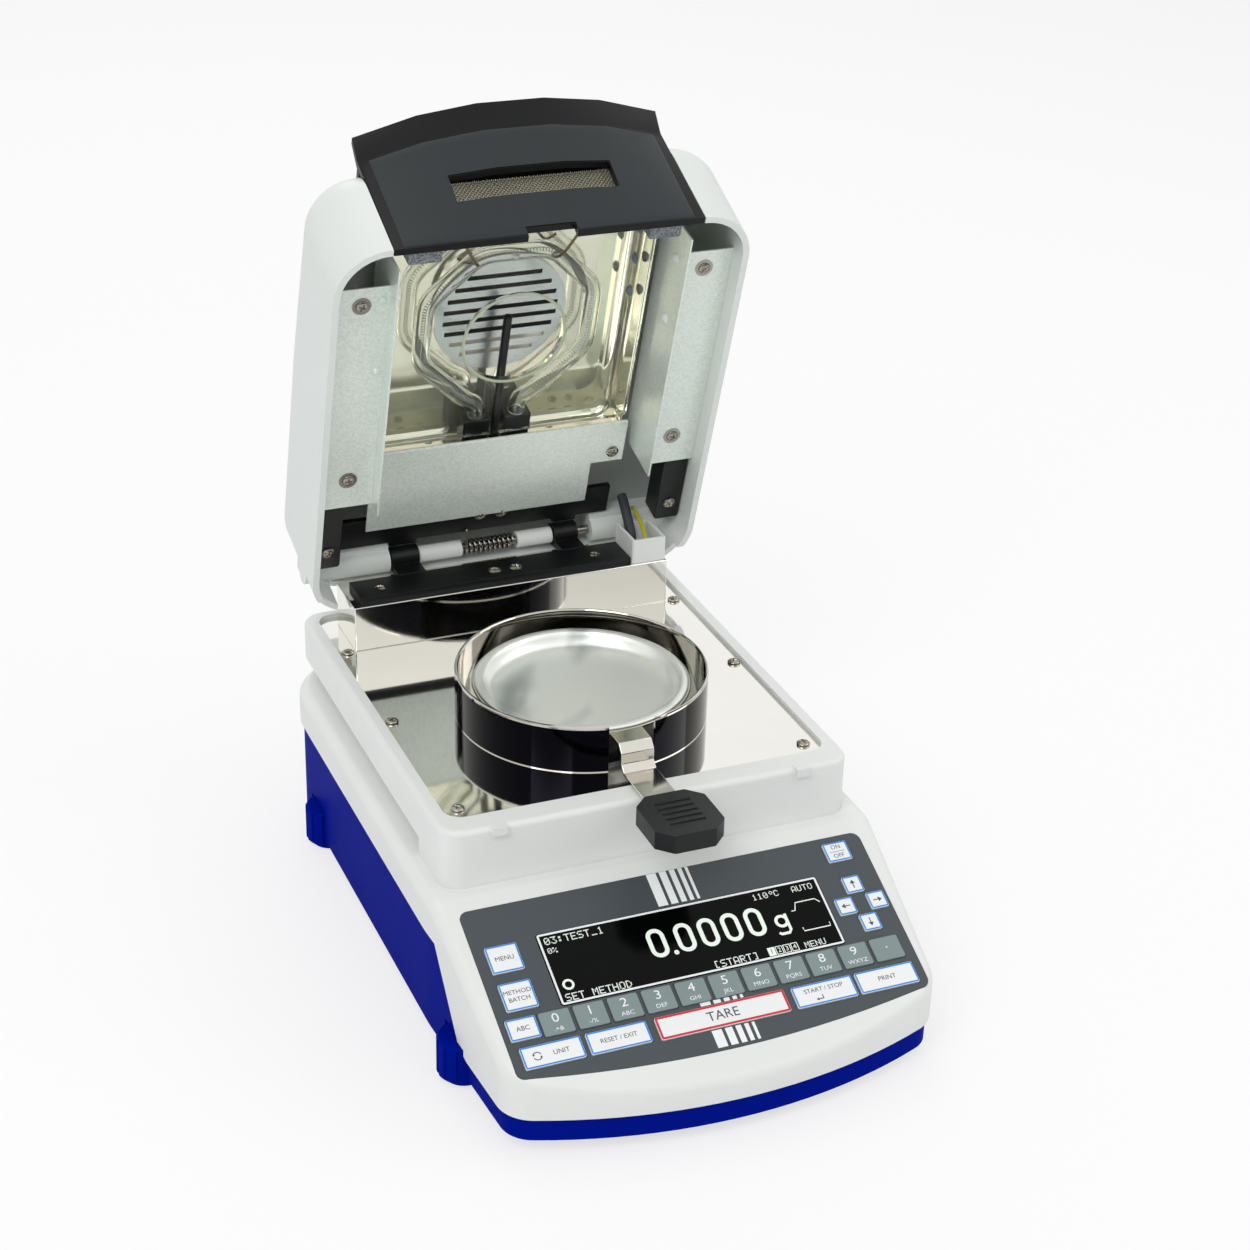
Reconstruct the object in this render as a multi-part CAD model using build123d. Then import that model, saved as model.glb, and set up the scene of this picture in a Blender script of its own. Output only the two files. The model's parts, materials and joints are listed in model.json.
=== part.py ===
from build123d import *
import math
import os

# Halogen moisture analyzer, shown with its hood open.
# Millimetres, +Z up, front at -Y, operator's right at +X.
# Sizes along Y are drawn from a point of the body; the origin goes under the middle of the whole at the end.

# Base and housing
BODY_HALF_WIDTH = 101.0
FRONT_HALF_WIDTH = BODY_HALF_WIDTH - 5.5
REAR_Y = 150.0
FRONT_Y = -168.0
FRONT_CORNER_Y = -148.0
TAPER_Y = -64.0
TAPER_R = 120.0
REAR_CORNER_R = 33.0
FRONT_CORNER_R = 16.0
DECK_Z = 71.0
BASE_BOTTOM_Z = 6.0
SHELL_WALL = 3.0
SHOULDER_R = 5.0
BASE_INSET = 1.6
JOINT_HIGH_Z = 54.0
JOINT_LOW_Z = 17.0
JOINT_DROP_REAR_Y = -74.5
JOINT_DROP_FRONT_Y = -99.6
TRAY_HALF_WIDTH = BODY_HALF_WIDTH - 8.0
TRAY_WALL = 7.0
PLINTH_HALF_WIDTH = TRAY_HALF_WIDTH - TRAY_WALL
PLINTH_FRONT_Y = -30.0
PLINTH_HEIGHT = 9.0

# Sloped console with its foil, keys and display
PANEL_ANGLE = 24.07
CONSOLE_BREAK_Y = -70.0
PANEL_TOP_Y = -76.8
FOIL_HALF_WIDTH = FRONT_HALF_WIDTH - 4.5
FOIL_LENGTH = 78.5
FOIL_BOW = 8.0
FOIL_THICK = 1.0
FOIL_LEDGE = 1.2
BOARD_FIT = 0.3
KEY_PROUD = 0.7
KEY_DEPTH = 1.9
KEY_GAP = 0.25
KEY_CORNER_R = 0.8
DOME_GAP = 0.45
DOME_R = 3.0
DOME_HEIGHT = 0.8
BOARD_THICK = 1.6
DISPLAY_HALF_WIDTH = FOIL_HALF_WIDTH - 27.7
DISPLAY_TOP_V = 17.5
DISPLAY_BOTTOM_V = 51.5
DISPLAY_THICK = 6.0
DISPLAY_PROUD = 0.3
KEYS_DRAWN_HALF_WIDTH = 91.0
NUMBER_LEFT_U = -74.5
NUMBER_PITCH = 14.75
NUMBER_WIDTH = 13.0
NUMBER_V = (52.8, 63.6)
ARROW_SIZE = 8.2
ARROW_U = 78.0
ARROW_V = 34.7
ARROW_STEP = 9.6
ARROW_REACH = 7.4
FIT = 0.25

# Tray, floor plate and the parts on it
TRAY_FRONT_Y = -65.0
TRAY_REAR_Y = 146.0
TRAY_TOP_Z = 98.0
TRAY_CORNER_R = 10.0
TRAY_RELIEF_Y = -33.0
TRAY_RELIEF = 8.0
PLATE_HALF_WIDTH = TRAY_HALF_WIDTH - 6.5
PLATE_FRONT_Y = -53.0
PLATE_TOP_Z = 96.0
PLATE_THICK = 1.0
PLATE_CORNER_R = 8.0
TRAY_LEDGE = 6.0
SCREW_INSETS = ((4.6, 103.5), (3.9, 35.1), (7.0, -44.0))
SCREW_HEAD_R = 2.9
SCREW_HEAD_H = 1.9
SCREW_SHANK_R = 1.5
SCREW_LENGTH = 8.0
BOX_HALF_WIDTH = PLATE_HALF_WIDTH - 8.5
BOX_FRONT_Y = 104.2
BOX_REAR_Y = 133.5
BOX_TOP_Z = 118.0
SHEET = 0.8
CLIP_HALF_SPAN = 68.5
CLIP_SIZE = 6.0

# Weighing group
PAN_Y = 18.5
PAN_R = 47.5
PAN_FLOOR_R = 41.5
PAN_RIM_Z = 112.5
PAN_DEPTH = 7.0
PAN_SHEET = 0.6
SHIELD_R = 56.1
SHIELD_WALL = 1.0
SHIELD_HEIGHT = 22.0
SHIELD_SLOT_LEFT = -9.3
SHIELD_SLOT_RIGHT = 12.0
POST_R = 4.0
SUPPORT_R = 36.0
SUPPORT_THICK = 1.5
POST_HOLE_R = 7.0
LIFTER_SHEET = 1.2
LIFTER_HALF_WIDTH = 7.5
LIFTER_BEND = 3.2
GRIP_REAR_Y = -72.0
GRIP_FRONT_Y = -105.0
GRIP_HALF_WIDTH = 15.5
GRIP_THICK = 8.5
GRIP_CUT = 6.5
GRIP_GROOVES = 5
GRIP_GROOVE_PITCH = 4.0
CELL_SIZE = (34.0, 90.0, 30.0)
CELL_TOP_Z = 62.0
CELL_FRONT_Y = 6.5
CELL_WALL = 8.0
CELL_ROOT = 32.0
SUPPORT_CUT_R = 11.0
SUPPORT_CUT_OFFSET = 18.0

# Electronics inside the base
MAIN_BOARD = (-60.0, 60.0, -60.0, 0.0)
MAIN_BOARD_Z = 20.0
BOARD_POST_R = 3.0
BOARD_POST_INSET = 6.0
CAPACITOR_R = 5.0
CAPACITOR_HEIGHT = 14.0
CAPACITOR_SPOTS = ((-22, -20), (22, -20), (-22, -45), (22, -45))
INLET_SIZE = (48.0, 22.0, 27.5)
INLET_X = 45.0
INLET_Z = 30.0
INLET_SOCKET = (22.0, 16.0, 18.0)

# Feet
FOOT_X = BODY_HALF_WIDTH - 7.0
FOOT_FRONT_Y = -93.0
FOOT_REAR_Y = 100.0
FOOT_R = 11.5
FOOT_HEIGHT = 18.0
FOOT_FLUTES = 12
FLUTE_R = 1.1
FOOT_STEM_R = 3.0
FOOT_STEM_LENGTH = 8.0
SOLE_HEIGHT = 2.0
FOOT_CLEAR = 0.8

# Hinge
HINGE_Y = 140.0
HINGE_Z = 123.0
LID_OPEN = 73.0
ROD_R = 2.0
ROD_HALF_LENGTH = 55.0
RUN_CLEAR = 0.06
SADDLE_R = 5.5
SADDLE_SPANS = ((-50.0, -36.5), (32.0, 44.0))
BAR_THICK = 3.0
BAR_FRONT_Y = 107.0
BAR_REAR_Y = 126.0
BAR_LEFT_X = -74.0
BAR_RIGHT_X = 60.0
SLEEVE_R = 4.0
SLEEVE_SPANS = ((-36.0, -14.5), (13.5, 31.5))
SPRING_MEAN_R = 3.3
SPRING_WIRE_R = 0.6
SPRING_LEFT_X = -12.5
SPRING_LENGTH = 24.0
SPRING_TURNS = 10
ARM_INNER_X = 51.0
ARM_R = 6.0
ARM_BLOCK = (8.0, 4.0, 8.0)
LID_BAR_FRONT_Y = 115.0
LID_BAR_REAR_Y = 131.0
LID_BAR_Z = 124.2

# Hood, described closed and then swung open about the hinge
HOOD_HALF_WIDTH = TRAY_HALF_WIDTH + 2.0
HOOD_FRONT_Y = -56.0
HOOD_REAR_Y = 150.0
HOOD_RIM_Z = 98.6
HOOD_TOP_Z = 161.5
HOOD_NOSE_Z = 155.0
HOOD_SLOPE_Y = 30.0
HOOD_LEAN = 8.0
HOOD_BEND_R = 300.0
HOOD_CORNER_R = 24.0
HOOD_SHOULDER_R = 17.0
HOOD_WALL = 3.0
HOOD_REAR_CUT_Z = 119.5
HOOD_REAR_RELIEF = 3.5
VISOR_HALF_WIDTH = HOOD_HALF_WIDTH - 25.0
VISOR_GAP = 0.3
VISOR_THICK = 3.0
VISOR_SEAT = 8.0
VISOR_BOW = 12.0
VISOR_LEAN = 7.0
LIP_BOTTOM_Z = 154.0
LIP_TOP_Z = 163.0
LIP_REACH = 6.0
WINDOW_HALF_WIDTH = 36.5
WINDOW_BOTTOM_Z = 119.5
WINDOW_TOP_Z = 132.5
NOTCH_HALF_WIDTH = 11.0
NOTCH_HEIGHT = 4.0
CHAMBER_HALF_WIDTH = 62.0
CHAMBER_FRONT_Y = -47.0
CHAMBER_REAR_Y = 86.0
CHAMBER_TOP_Z = 147.0
CHAMBER_CORNER_R = 10.0
CHAMBER_TOP_R = 7.0
GLASS_Z = 125.0
GLASS_THICK = 3.0
GLASS_REAR_Y = 73.0
GLASS_HOLE_R = 23.5
SIDE_PLATE_X = 66.0
SIDE_PLATE_WEB_Z = 108.0
SIDE_PLATE_TOP_Z = 130.0
SIDE_PLATE_FRONT_Y = -44.0
SIDE_PLATE_REAR_Y = 90.0
COVER_FRONT_Y = 75.0
COVER_REAR_Y = 121.0
COVER_Z = 123.0
COVER_HALF_WIDTH = 63.0
COVER_NOTCH_X = 47.0
COVER_NOTCH_Y = 98.0
LAMP_R = 40.0
LAMP_TUBE_R = 4.2
LAMP_Z = 136.0
LAMP_LEAD_X = 10.0
LAMP_SOCKET_Y = 75.0
SOCKET_SIZE = (13.0, 12.0, 8.0)
SENSOR_Z = 135.0
SENSOR_R = 2.0
SENSOR_TIP_Y = 13.0
DISC_R = 31.5
DISC_THICK = 1.5
DISC_RIM = 4.0
DISC_SLOTS = 8
DISC_SLOT_PITCH = 6.0
DISC_SLOT_HALF = 1.2

hinge_axis = Axis((0, HINGE_Y, HINGE_Z), (1, 0, 0))
panel_slope = math.tan(math.radians(PANEL_ANGLE))
panel_top_z = DECK_Z - panel_slope * (CONSOLE_BREAK_Y - PANEL_TOP_Y)
panel_plane = Plane(
    origin=(0, PANEL_TOP_Y, panel_top_z),
    x_dir=(1, 0, 0),
    z_dir=(0, -math.sin(math.radians(PANEL_ANGLE)), math.cos(math.radians(PANEL_ANGLE))),
)
nodes = {}


def opened(solid):
    """A hood part drawn closed, swung up to where it rests open."""
    return solid.rotate(hinge_axis, -LID_OPEN)


def block(x0, x1, y0, y1, z0, z1):
    """A box between two corners."""
    centre = Pos((x0 + x1) / 2, (y0 + y1) / 2, (z0 + z1) / 2)
    return centre * Box(x1 - x0, y1 - y0, z1 - z0)


def slab(x0, x1, y0, y1, z0, z1, r):
    """A box with rounded upright edges."""
    outline = Pos((x0 + x1) / 2, (y0 + y1) / 2, z0) * RectangleRounded(x1 - x0, y1 - y0, r)
    return extrude(outline, z1 - z0)


def disc(r, z0, z1, x=0.0, y=PAN_Y):
    """An upright cylinder between two heights."""
    return Pos(x, y, (z0 + z1) / 2) * Cylinder(r, z1 - z0)


def across(r, x0, x1, y=HINGE_Y, z=HINGE_Z):
    """A cylinder lying along X."""
    return Pos((x0 + x1) / 2, y, z) * Rot(0, 90, 0) * Cylinder(r, x1 - x0)


def on_panel(u0, u1, v0, v1, low, high, r=0.0):
    """A pad on the sloped console: u across, v down the slope, low and high above its face."""
    outline = Rectangle(u1 - u0, v1 - v0) if r == 0 else RectangleRounded(u1 - u0, v1 - v0, r)
    pad = extrude(Pos((u0 + u1) / 2, -(v0 + v1) / 2, low) * outline, high - low)
    return panel_plane * pad


# Housing and base are two shells cut from one body along the stepped joint
def plan_outline(inset):
    """The plan of the body: straight sides, a taper to the front and a bowed nose."""
    rear = Line((-BODY_HALF_WIDTH, REAR_Y), (BODY_HALF_WIDTH, REAR_Y))
    right = Line((BODY_HALF_WIDTH, REAR_Y), (BODY_HALF_WIDTH, TAPER_Y))
    right_taper = Line((BODY_HALF_WIDTH, TAPER_Y), (FRONT_HALF_WIDTH, FRONT_CORNER_Y))
    nose = ThreePointArc(
        (FRONT_HALF_WIDTH, FRONT_CORNER_Y), (0, FRONT_Y), (-FRONT_HALF_WIDTH, FRONT_CORNER_Y)
    )
    left_taper = Line((-FRONT_HALF_WIDTH, FRONT_CORNER_Y), (-BODY_HALF_WIDTH, TAPER_Y))
    left = Line((-BODY_HALF_WIDTH, TAPER_Y), (-BODY_HALF_WIDTH, REAR_Y))
    face = make_face([rear, right, right_taper, nose, left_taper, left])
    tapers = face.vertices().filter_by(lambda v: abs(v.Y - TAPER_Y) < 0.1)
    face = fillet(tapers, TAPER_R)
    face = fillet(face.vertices().group_by(Axis.Y)[-1], REAR_CORNER_R)
    face = fillet(face.vertices().group_by(Axis.Y)[0], FRONT_CORNER_R)
    return offset(face, -inset) if inset else face


def side_profile(inset, bottom):
    """The side view of the body: flat deck, then the console slope down to the nose."""
    nose_y = FRONT_Y - 10
    nose_z = DECK_Z - panel_slope * (CONSOLE_BREAK_Y - nose_y)
    drop = inset / math.cos(math.radians(PANEL_ANGLE))
    shift = (drop - inset) / panel_slope
    points = [
        (REAR_Y + 10, bottom),
        (REAR_Y + 10, DECK_Z - inset),
        (CONSOLE_BREAK_Y + shift, DECK_Z - inset),
        (nose_y, nose_z - drop),
        (nose_y, bottom),
    ]
    return make_face(Plane.YZ * Polyline(*points, close=True))


def body_solid(inset, bottom):
    """The body pulled in by an even inset."""
    upright = extrude(Pos(0, 0, bottom) * plan_outline(inset), DECK_Z)
    side = extrude(side_profile(inset, bottom), BODY_HALF_WIDTH + 10, both=True)
    return upright & side


def joint_region():
    """Everything above the stepped joint between housing and base."""
    far = 400
    points = [
        (far, JOINT_HIGH_Z),
        (JOINT_DROP_REAR_Y, JOINT_HIGH_Z),
        (JOINT_DROP_FRONT_Y, JOINT_LOW_Z + 2),
        (JOINT_DROP_FRONT_Y - 8, JOINT_LOW_Z),
        (-far, JOINT_LOW_Z),
        (-far, far),
        (far, far),
    ]
    return extrude(make_face(Plane.YZ * Polyline(*points, close=True)), far, both=True)


def foil_outline(grow):
    """The foil's outline on the console: rounded top corners and a bowed lower edge."""
    half = FOIL_HALF_WIDTH + grow
    top = grow
    low = -FOIL_LENGTH - grow
    edges = [
        Line((-half, top), (half, top)),
        Line((half, top), (half, low)),
        ThreePointArc((half, low), (0, low - FOIL_BOW), (-half, low)),
        Line((-half, low), (-half, top)),
    ]
    face = make_face(edges)
    return fillet(face.vertices(), 4.0 + max(grow, -3.0))


above_joint = joint_region()
outer = body_solid(0, BASE_BOTTOM_Z)
shoulder = outer.edges().filter_by(
    lambda e: e.center().Z > DECK_Z - 60 and e.length > 10 and min(v.Z for v in e.vertices()) > 20
)
outer = fillet(shoulder, SHOULDER_R)
hollow = body_solid(SHELL_WALL, BASE_BOTTOM_Z - 1)
housing = (outer - hollow) & above_joint

plinth = slab(
    -PLINTH_HALF_WIDTH, PLINTH_HALF_WIDTH, PLINTH_FRONT_Y, TRAY_REAR_Y - 6,
    DECK_Z - SHELL_WALL, DECK_Z + PLINTH_HEIGHT, TRAY_CORNER_R,
)
plinth_hollow = slab(
    -PLINTH_HALF_WIDTH + SHELL_WALL, PLINTH_HALF_WIDTH - SHELL_WALL,
    PLINTH_FRONT_Y + SHELL_WALL, TRAY_REAR_Y - 6 - SHELL_WALL,
    DECK_Z - SHELL_WALL - 1, DECK_Z + PLINTH_HEIGHT - SHELL_WALL, TRAY_CORNER_R - SHELL_WALL,
)
housing = housing + plinth - plinth_hollow
housing -= disc(POST_HOLE_R + 3, DECK_Z - 5, DECK_Z + PLINTH_HEIGHT + 1)
housing -= panel_plane * extrude(foil_outline(0.15), FOIL_THICK, both=True)
housing -= panel_plane * extrude(foil_outline(-FOIL_LEDGE), -SHELL_WALL * 3)
nodes["top_housing"] = housing

base_outer = body_solid(BASE_INSET, BASE_BOTTOM_Z)
base_hollow = body_solid(BASE_INSET + SHELL_WALL, BASE_BOTTOM_Z + SHELL_WALL)
base_tub = (base_outer - base_hollow) - above_joint
foot_spots = [
    ("front_left", -FOOT_X, FOOT_FRONT_Y),
    ("front_right", FOOT_X, FOOT_FRONT_Y),
    ("rear_left", -FOOT_X, FOOT_REAR_Y),
    ("rear_right", FOOT_X, FOOT_REAR_Y),
]
foot_ceiling_z = FOOT_HEIGHT + SOLE_HEIGHT + FOOT_CLEAR
tub_room = body_solid(SHELL_WALL + FIT, BASE_BOTTOM_Z)
for _, x, y in foot_spots:
    boss = disc(FOOT_R + FOOT_CLEAR + SHELL_WALL, BASE_BOTTOM_Z, foot_ceiling_z + SHELL_WALL, x, y)
    tower = disc(FOOT_STEM_R + 3, foot_ceiling_z, foot_ceiling_z + FOOT_STEM_LENGTH, x, y)
    pocket = disc(FOOT_R + FOOT_CLEAR, BASE_BOTTOM_Z - 1, foot_ceiling_z, x, y)
    bore = disc(FOOT_STEM_R + RUN_CLEAR, foot_ceiling_z - 1, foot_ceiling_z + FOOT_STEM_LENGTH + 1, x, y)
    base_tub += ((boss & base_outer) - above_joint) + (boss & tub_room) + (tower & tub_room)
    base_tub -= pocket
    base_tub -= bore
    nodes["top_housing"] -= pocket
    nodes["top_housing"] -= bore
inlet_hole = block(
    INLET_X - INLET_SIZE[0] / 2, INLET_X + INLET_SIZE[0] / 2, REAR_Y - 15, REAR_Y + 1,
    INLET_Z - INLET_SIZE[2] / 2, INLET_Z + INLET_SIZE[2] / 2,
)
base_tub -= inlet_hole
nodes["base_tub"] = base_tub


# Levelling feet turn on their own threaded stems
def levelling_foot(x, y):
    """A fluted knob with a stem above and a sole below."""
    knob_top = SOLE_HEIGHT + FOOT_HEIGHT
    knob = disc(FOOT_R, SOLE_HEIGHT, knob_top, x, y)
    knob = chamfer(knob.edges().filter_by(GeomType.CIRCLE), 1.0)
    for n in range(FOOT_FLUTES):
        a = 2 * math.pi * n / FOOT_FLUTES
        flute_x = x + (FOOT_R + 0.3) * math.cos(a)
        flute_y = y + (FOOT_R + 0.3) * math.sin(a)
        knob -= disc(FLUTE_R, 0, knob_top + 1, flute_x, flute_y)
    sole = disc(FOOT_R - 3, 0, SOLE_HEIGHT, x, y)
    stem = disc(FOOT_STEM_R, knob_top, knob_top + FOOT_STEM_LENGTH, x, y)
    return knob + sole + stem


for name, x, y in foot_spots:
    nodes["foot_" + name] = levelling_foot(x, y)

# Console: foil, keys, domes on their board, and the display
# Key places are drawn for one foil width and spread with the foil
key_spots = {
    "menu": (-86.0, -72.2, 18.8, 31.4),
    "method": (-86.0, -72.2, 36.4, 49.3),
    "abc": (-88.5, -75.7, 52.8, 62.6),
    "unit": (-86.8, -61.2, 66.0, 75.8),
    "reset": (-59.0, -33.0, 66.0, 75.8),
    "tare": (-29.3, 28.0, 66.0, 76.4),
    "start": (31.2, 58.6, 66.4, 76.4),
    "print": (60.2, 87.0, 66.4, 76.4),
    "on_off": (72.4, 83.6, 3.2, 12.7),
}
for name, u, v in (
    ("up", ARROW_U, ARROW_V - ARROW_STEP), ("down", ARROW_U, ARROW_V + ARROW_STEP),
    ("left", ARROW_U - ARROW_REACH, ARROW_V), ("right", ARROW_U + ARROW_REACH, ARROW_V),
):
    key_spots[name] = (u - ARROW_SIZE / 2, u + ARROW_SIZE / 2, v - ARROW_SIZE / 2, v + ARROW_SIZE / 2)
for n in range(11):
    u = NUMBER_LEFT_U + n * NUMBER_PITCH
    name = "dot" if n == 10 else str(n)
    key_spots[name] = (u, u + NUMBER_WIDTH, *NUMBER_V)
spread = FOIL_HALF_WIDTH / KEYS_DRAWN_HALF_WIDTH
key_spots = {
    name: (u0 * spread, u1 * spread, v0, v1) for name, (u0, u1, v0, v1) in key_spots.items()
}

foil = extrude(foil_outline(0), -FOIL_THICK)
foil = panel_plane * foil
foil -= on_panel(
    -DISPLAY_HALF_WIDTH - FIT, DISPLAY_HALF_WIDTH + FIT,
    DISPLAY_TOP_V - FIT, DISPLAY_BOTTOM_V + FIT, -2, 2, 1.5,
)
key_bottom = KEY_PROUD - KEY_DEPTH
dome_top = key_bottom - DOME_GAP
board_top = dome_top - DOME_HEIGHT
board = panel_plane * extrude(Pos(0, 0, board_top) * foil_outline(-FOIL_LEDGE - BOARD_FIT), -BOARD_THICK)
board -= on_panel(
    -DISPLAY_HALF_WIDTH - FIT, DISPLAY_HALF_WIDTH + FIT,
    DISPLAY_TOP_V - FIT, DISPLAY_BOTTOM_V + FIT, -20, 2,
)
for name, (u0, u1, v0, v1) in key_spots.items():
    foil -= on_panel(u0 - KEY_GAP, u1 + KEY_GAP, v0 - KEY_GAP, v1 + KEY_GAP, -2, 2, KEY_CORNER_R)
    pad = on_panel(u0, u1, v0, v1, key_bottom, KEY_PROUD, KEY_CORNER_R)
    nodes["key_" + name] = pad
    dome = extrude(Pos((u0 + u1) / 2, -(v0 + v1) / 2, board_top) * Circle(DOME_R), DOME_HEIGHT)
    board += panel_plane * dome
nodes["panel_foil"] = foil
nodes["keypad_board"] = board
nodes["display_module"] = on_panel(
    -DISPLAY_HALF_WIDTH, DISPLAY_HALF_WIDTH, DISPLAY_TOP_V, DISPLAY_BOTTOM_V,
    DISPLAY_PROUD - DISPLAY_THICK, DISPLAY_PROUD, 1.2,
)

# Tray round the weighing chamber and its polished floor
tray = slab(-TRAY_HALF_WIDTH, TRAY_HALF_WIDTH, TRAY_FRONT_Y, TRAY_REAR_Y, DECK_Z, TRAY_TOP_Z, TRAY_CORNER_R)
tray = fillet(tray.faces().sort_by(Axis.Z)[-1].edges(), 2.5)
plate_bottom_z = PLATE_TOP_Z - PLATE_THICK
tray -= slab(
    -PLATE_HALF_WIDTH - FIT, PLATE_HALF_WIDTH + FIT, PLATE_FRONT_Y - FIT, TRAY_REAR_Y - 5,
    plate_bottom_z, TRAY_TOP_Z + 1, PLATE_CORNER_R,
)
tray -= slab(
    -PLATE_HALF_WIDTH + TRAY_LEDGE, PLATE_HALF_WIDTH - TRAY_LEDGE,
    PLATE_FRONT_Y + TRAY_LEDGE, TRAY_REAR_Y - 5 - TRAY_LEDGE,
    DECK_Z - 1, TRAY_TOP_Z + 1, PLATE_CORNER_R,
)
plinth_fit = slab(
    -PLINTH_HALF_WIDTH - FIT, PLINTH_HALF_WIDTH + FIT, PLINTH_FRONT_Y - FIT, TRAY_REAR_Y - 6 + FIT,
    DECK_Z - 1, DECK_Z + PLINTH_HEIGHT, TRAY_CORNER_R,
)
tray -= plinth_fit
for side in (-1, 1):
    edge = side * TRAY_HALF_WIDTH
    inner = side * (PLINTH_HALF_WIDTH + FIT)
    relief = block(
        min(edge, inner) - (1 if side < 0 else 0), max(edge, inner) + (1 if side > 0 else 0),
        TRAY_RELIEF_Y, TRAY_REAR_Y + 1, DECK_Z - 1, DECK_Z + TRAY_RELIEF,
    )
    tray -= relief
    clip_x = side * CLIP_HALF_SPAN
    tray += block(
        clip_x - CLIP_SIZE / 2, clip_x + CLIP_SIZE / 2, TRAY_FRONT_Y - 2, TRAY_FRONT_Y + 4,
        TRAY_TOP_Z - 3.5, TRAY_TOP_Z + 0.3,
    )
nodes["chamber_tray"] = tray

plate = slab(
    -PLATE_HALF_WIDTH, PLATE_HALF_WIDTH, PLATE_FRONT_Y, TRAY_REAR_Y - 5 - FIT,
    plate_bottom_z, PLATE_TOP_Z, PLATE_CORNER_R - FIT,
)
plate -= disc(POST_HOLE_R, plate_bottom_z - 1, PLATE_TOP_Z + 1)
screws = None
for inset, y in SCREW_INSETS:
    for side in (-1, 1):
        sx = side * (PLATE_HALF_WIDTH - inset)
        head = disc(SCREW_HEAD_R, PLATE_TOP_Z, PLATE_TOP_Z + SCREW_HEAD_H, sx, y)
        head = fillet(head.edges().group_by(Axis.Z)[-1], 1.0)
        shank = disc(SCREW_SHANK_R, PLATE_TOP_Z - SCREW_LENGTH, PLATE_TOP_Z, sx, y)
        screw = head + shank
        screws = screw if screws is None else screws + screw
        hole = disc(SCREW_SHANK_R, PLATE_TOP_Z - SCREW_LENGTH, PLATE_TOP_Z + 1, sx, y)
        plate -= hole
        nodes["chamber_tray"] -= hole
nodes["floor_screws"] = screws
nodes["floor_plate"] = plate

box = block(-BOX_HALF_WIDTH, BOX_HALF_WIDTH, BOX_FRONT_Y, BOX_REAR_Y, PLATE_TOP_Z, BOX_TOP_Z)
box -= block(
    -BOX_HALF_WIDTH + SHEET, BOX_HALF_WIDTH - SHEET, BOX_FRONT_Y + SHEET, BOX_REAR_Y - SHEET,
    PLATE_TOP_Z - 1, BOX_TOP_Z - SHEET,
)
nodes["hinge_box"] = box

# Hinge: bar and saddles on the box, rod through them, torsion spring in the middle
bar_top = BOX_TOP_Z + BAR_THICK
bar = block(BAR_LEFT_X, BAR_RIGHT_X, BAR_FRONT_Y, BAR_REAR_Y, BOX_TOP_Z, bar_top)
for x0, x1 in SADDLE_SPANS:
    bar += block(x0, x1, BAR_REAR_Y - 1, HINGE_Y - 1, BOX_TOP_Z, bar_top + 0.3)
    bar += across(SADDLE_R, x0, x1)
bar -= across(ROD_R, -ROD_HALF_LENGTH - 5, ROD_HALF_LENGTH + 5)
nodes["hinge_bar"] = bar
nodes["hinge_rod"] = across(ROD_R, -ROD_HALF_LENGTH, ROD_HALF_LENGTH)

coil_path = Pos(SPRING_LEFT_X, HINGE_Y, HINGE_Z) * Rot(0, 90, 0) * Helix(
    SPRING_LENGTH / SPRING_TURNS, SPRING_LENGTH, SPRING_MEAN_R
)
coil_end = Plane(origin=coil_path @ 0, z_dir=coil_path % 0)
coil = sweep(coil_end * Circle(SPRING_WIRE_R), path=coil_path, is_frenet=True)
nodes["torsion_spring"] = coil

# Weighing group: load cell, post with support, pan, lifter and wind shield
lifter_z = PAN_RIM_Z - 2.6
pan_floor_z = PAN_RIM_Z - PAN_DEPTH


def revolved(points, y=PAN_Y):
    """A turned part from its half section of radius and height."""
    face = make_face(Plane.XZ * Polyline(*points, close=True))
    return Pos(0, y, 0) * revolve(face, Axis.Z)


pan = revolved([
    (0, pan_floor_z),
    (PAN_FLOOR_R, pan_floor_z),
    (PAN_FLOOR_R + 2.4, PAN_RIM_Z - 1.2),
    (PAN_R - 0.6, PAN_RIM_Z - 1.2),
    (PAN_R, PAN_RIM_Z - 0.6),
    (PAN_R, PAN_RIM_Z),
    (PAN_FLOOR_R + 2.0, PAN_RIM_Z),
    (PAN_FLOOR_R - 0.4, pan_floor_z + PAN_SHEET),
    (0, pan_floor_z + PAN_SHEET),
])
nodes["sample_pan"] = pan

support_top = pan_floor_z
support = disc(SUPPORT_R, support_top - SUPPORT_THICK, support_top)
for side in (-1, 1):
    offset_x = side * SUPPORT_CUT_OFFSET
    support -= disc(SUPPORT_CUT_R, support_top - 5, support_top + 1, offset_x, PAN_Y)
    support -= disc(SUPPORT_CUT_R, support_top - 5, support_top + 1, 0, PAN_Y + offset_x)
support += disc(POST_R, CELL_TOP_Z, support_top - SUPPORT_THICK)
nodes["pan_support"] = support

cell_width, cell_length, cell_height = CELL_SIZE
cell_rear_y = CELL_FRONT_Y + cell_length
cell_bottom_z = CELL_TOP_Z - cell_height
cell = block(-cell_width / 2, cell_width / 2, CELL_FRONT_Y, cell_rear_y, cell_bottom_z, CELL_TOP_Z)
cell -= block(
    -cell_width / 2 - 1, cell_width / 2 + 1, PAN_Y + CELL_WALL, cell_rear_y - CELL_ROOT + CELL_WALL,
    cell_bottom_z + CELL_WALL, CELL_TOP_Z - CELL_WALL,
)
nodes["load_cell"] = cell
nodes["base_tub"] += block(
    -cell_width / 2, cell_width / 2, cell_rear_y - CELL_ROOT + CELL_WALL, cell_rear_y - CELL_WALL / 2,
    BASE_BOTTOM_Z + 1, cell_bottom_z,
)

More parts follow.
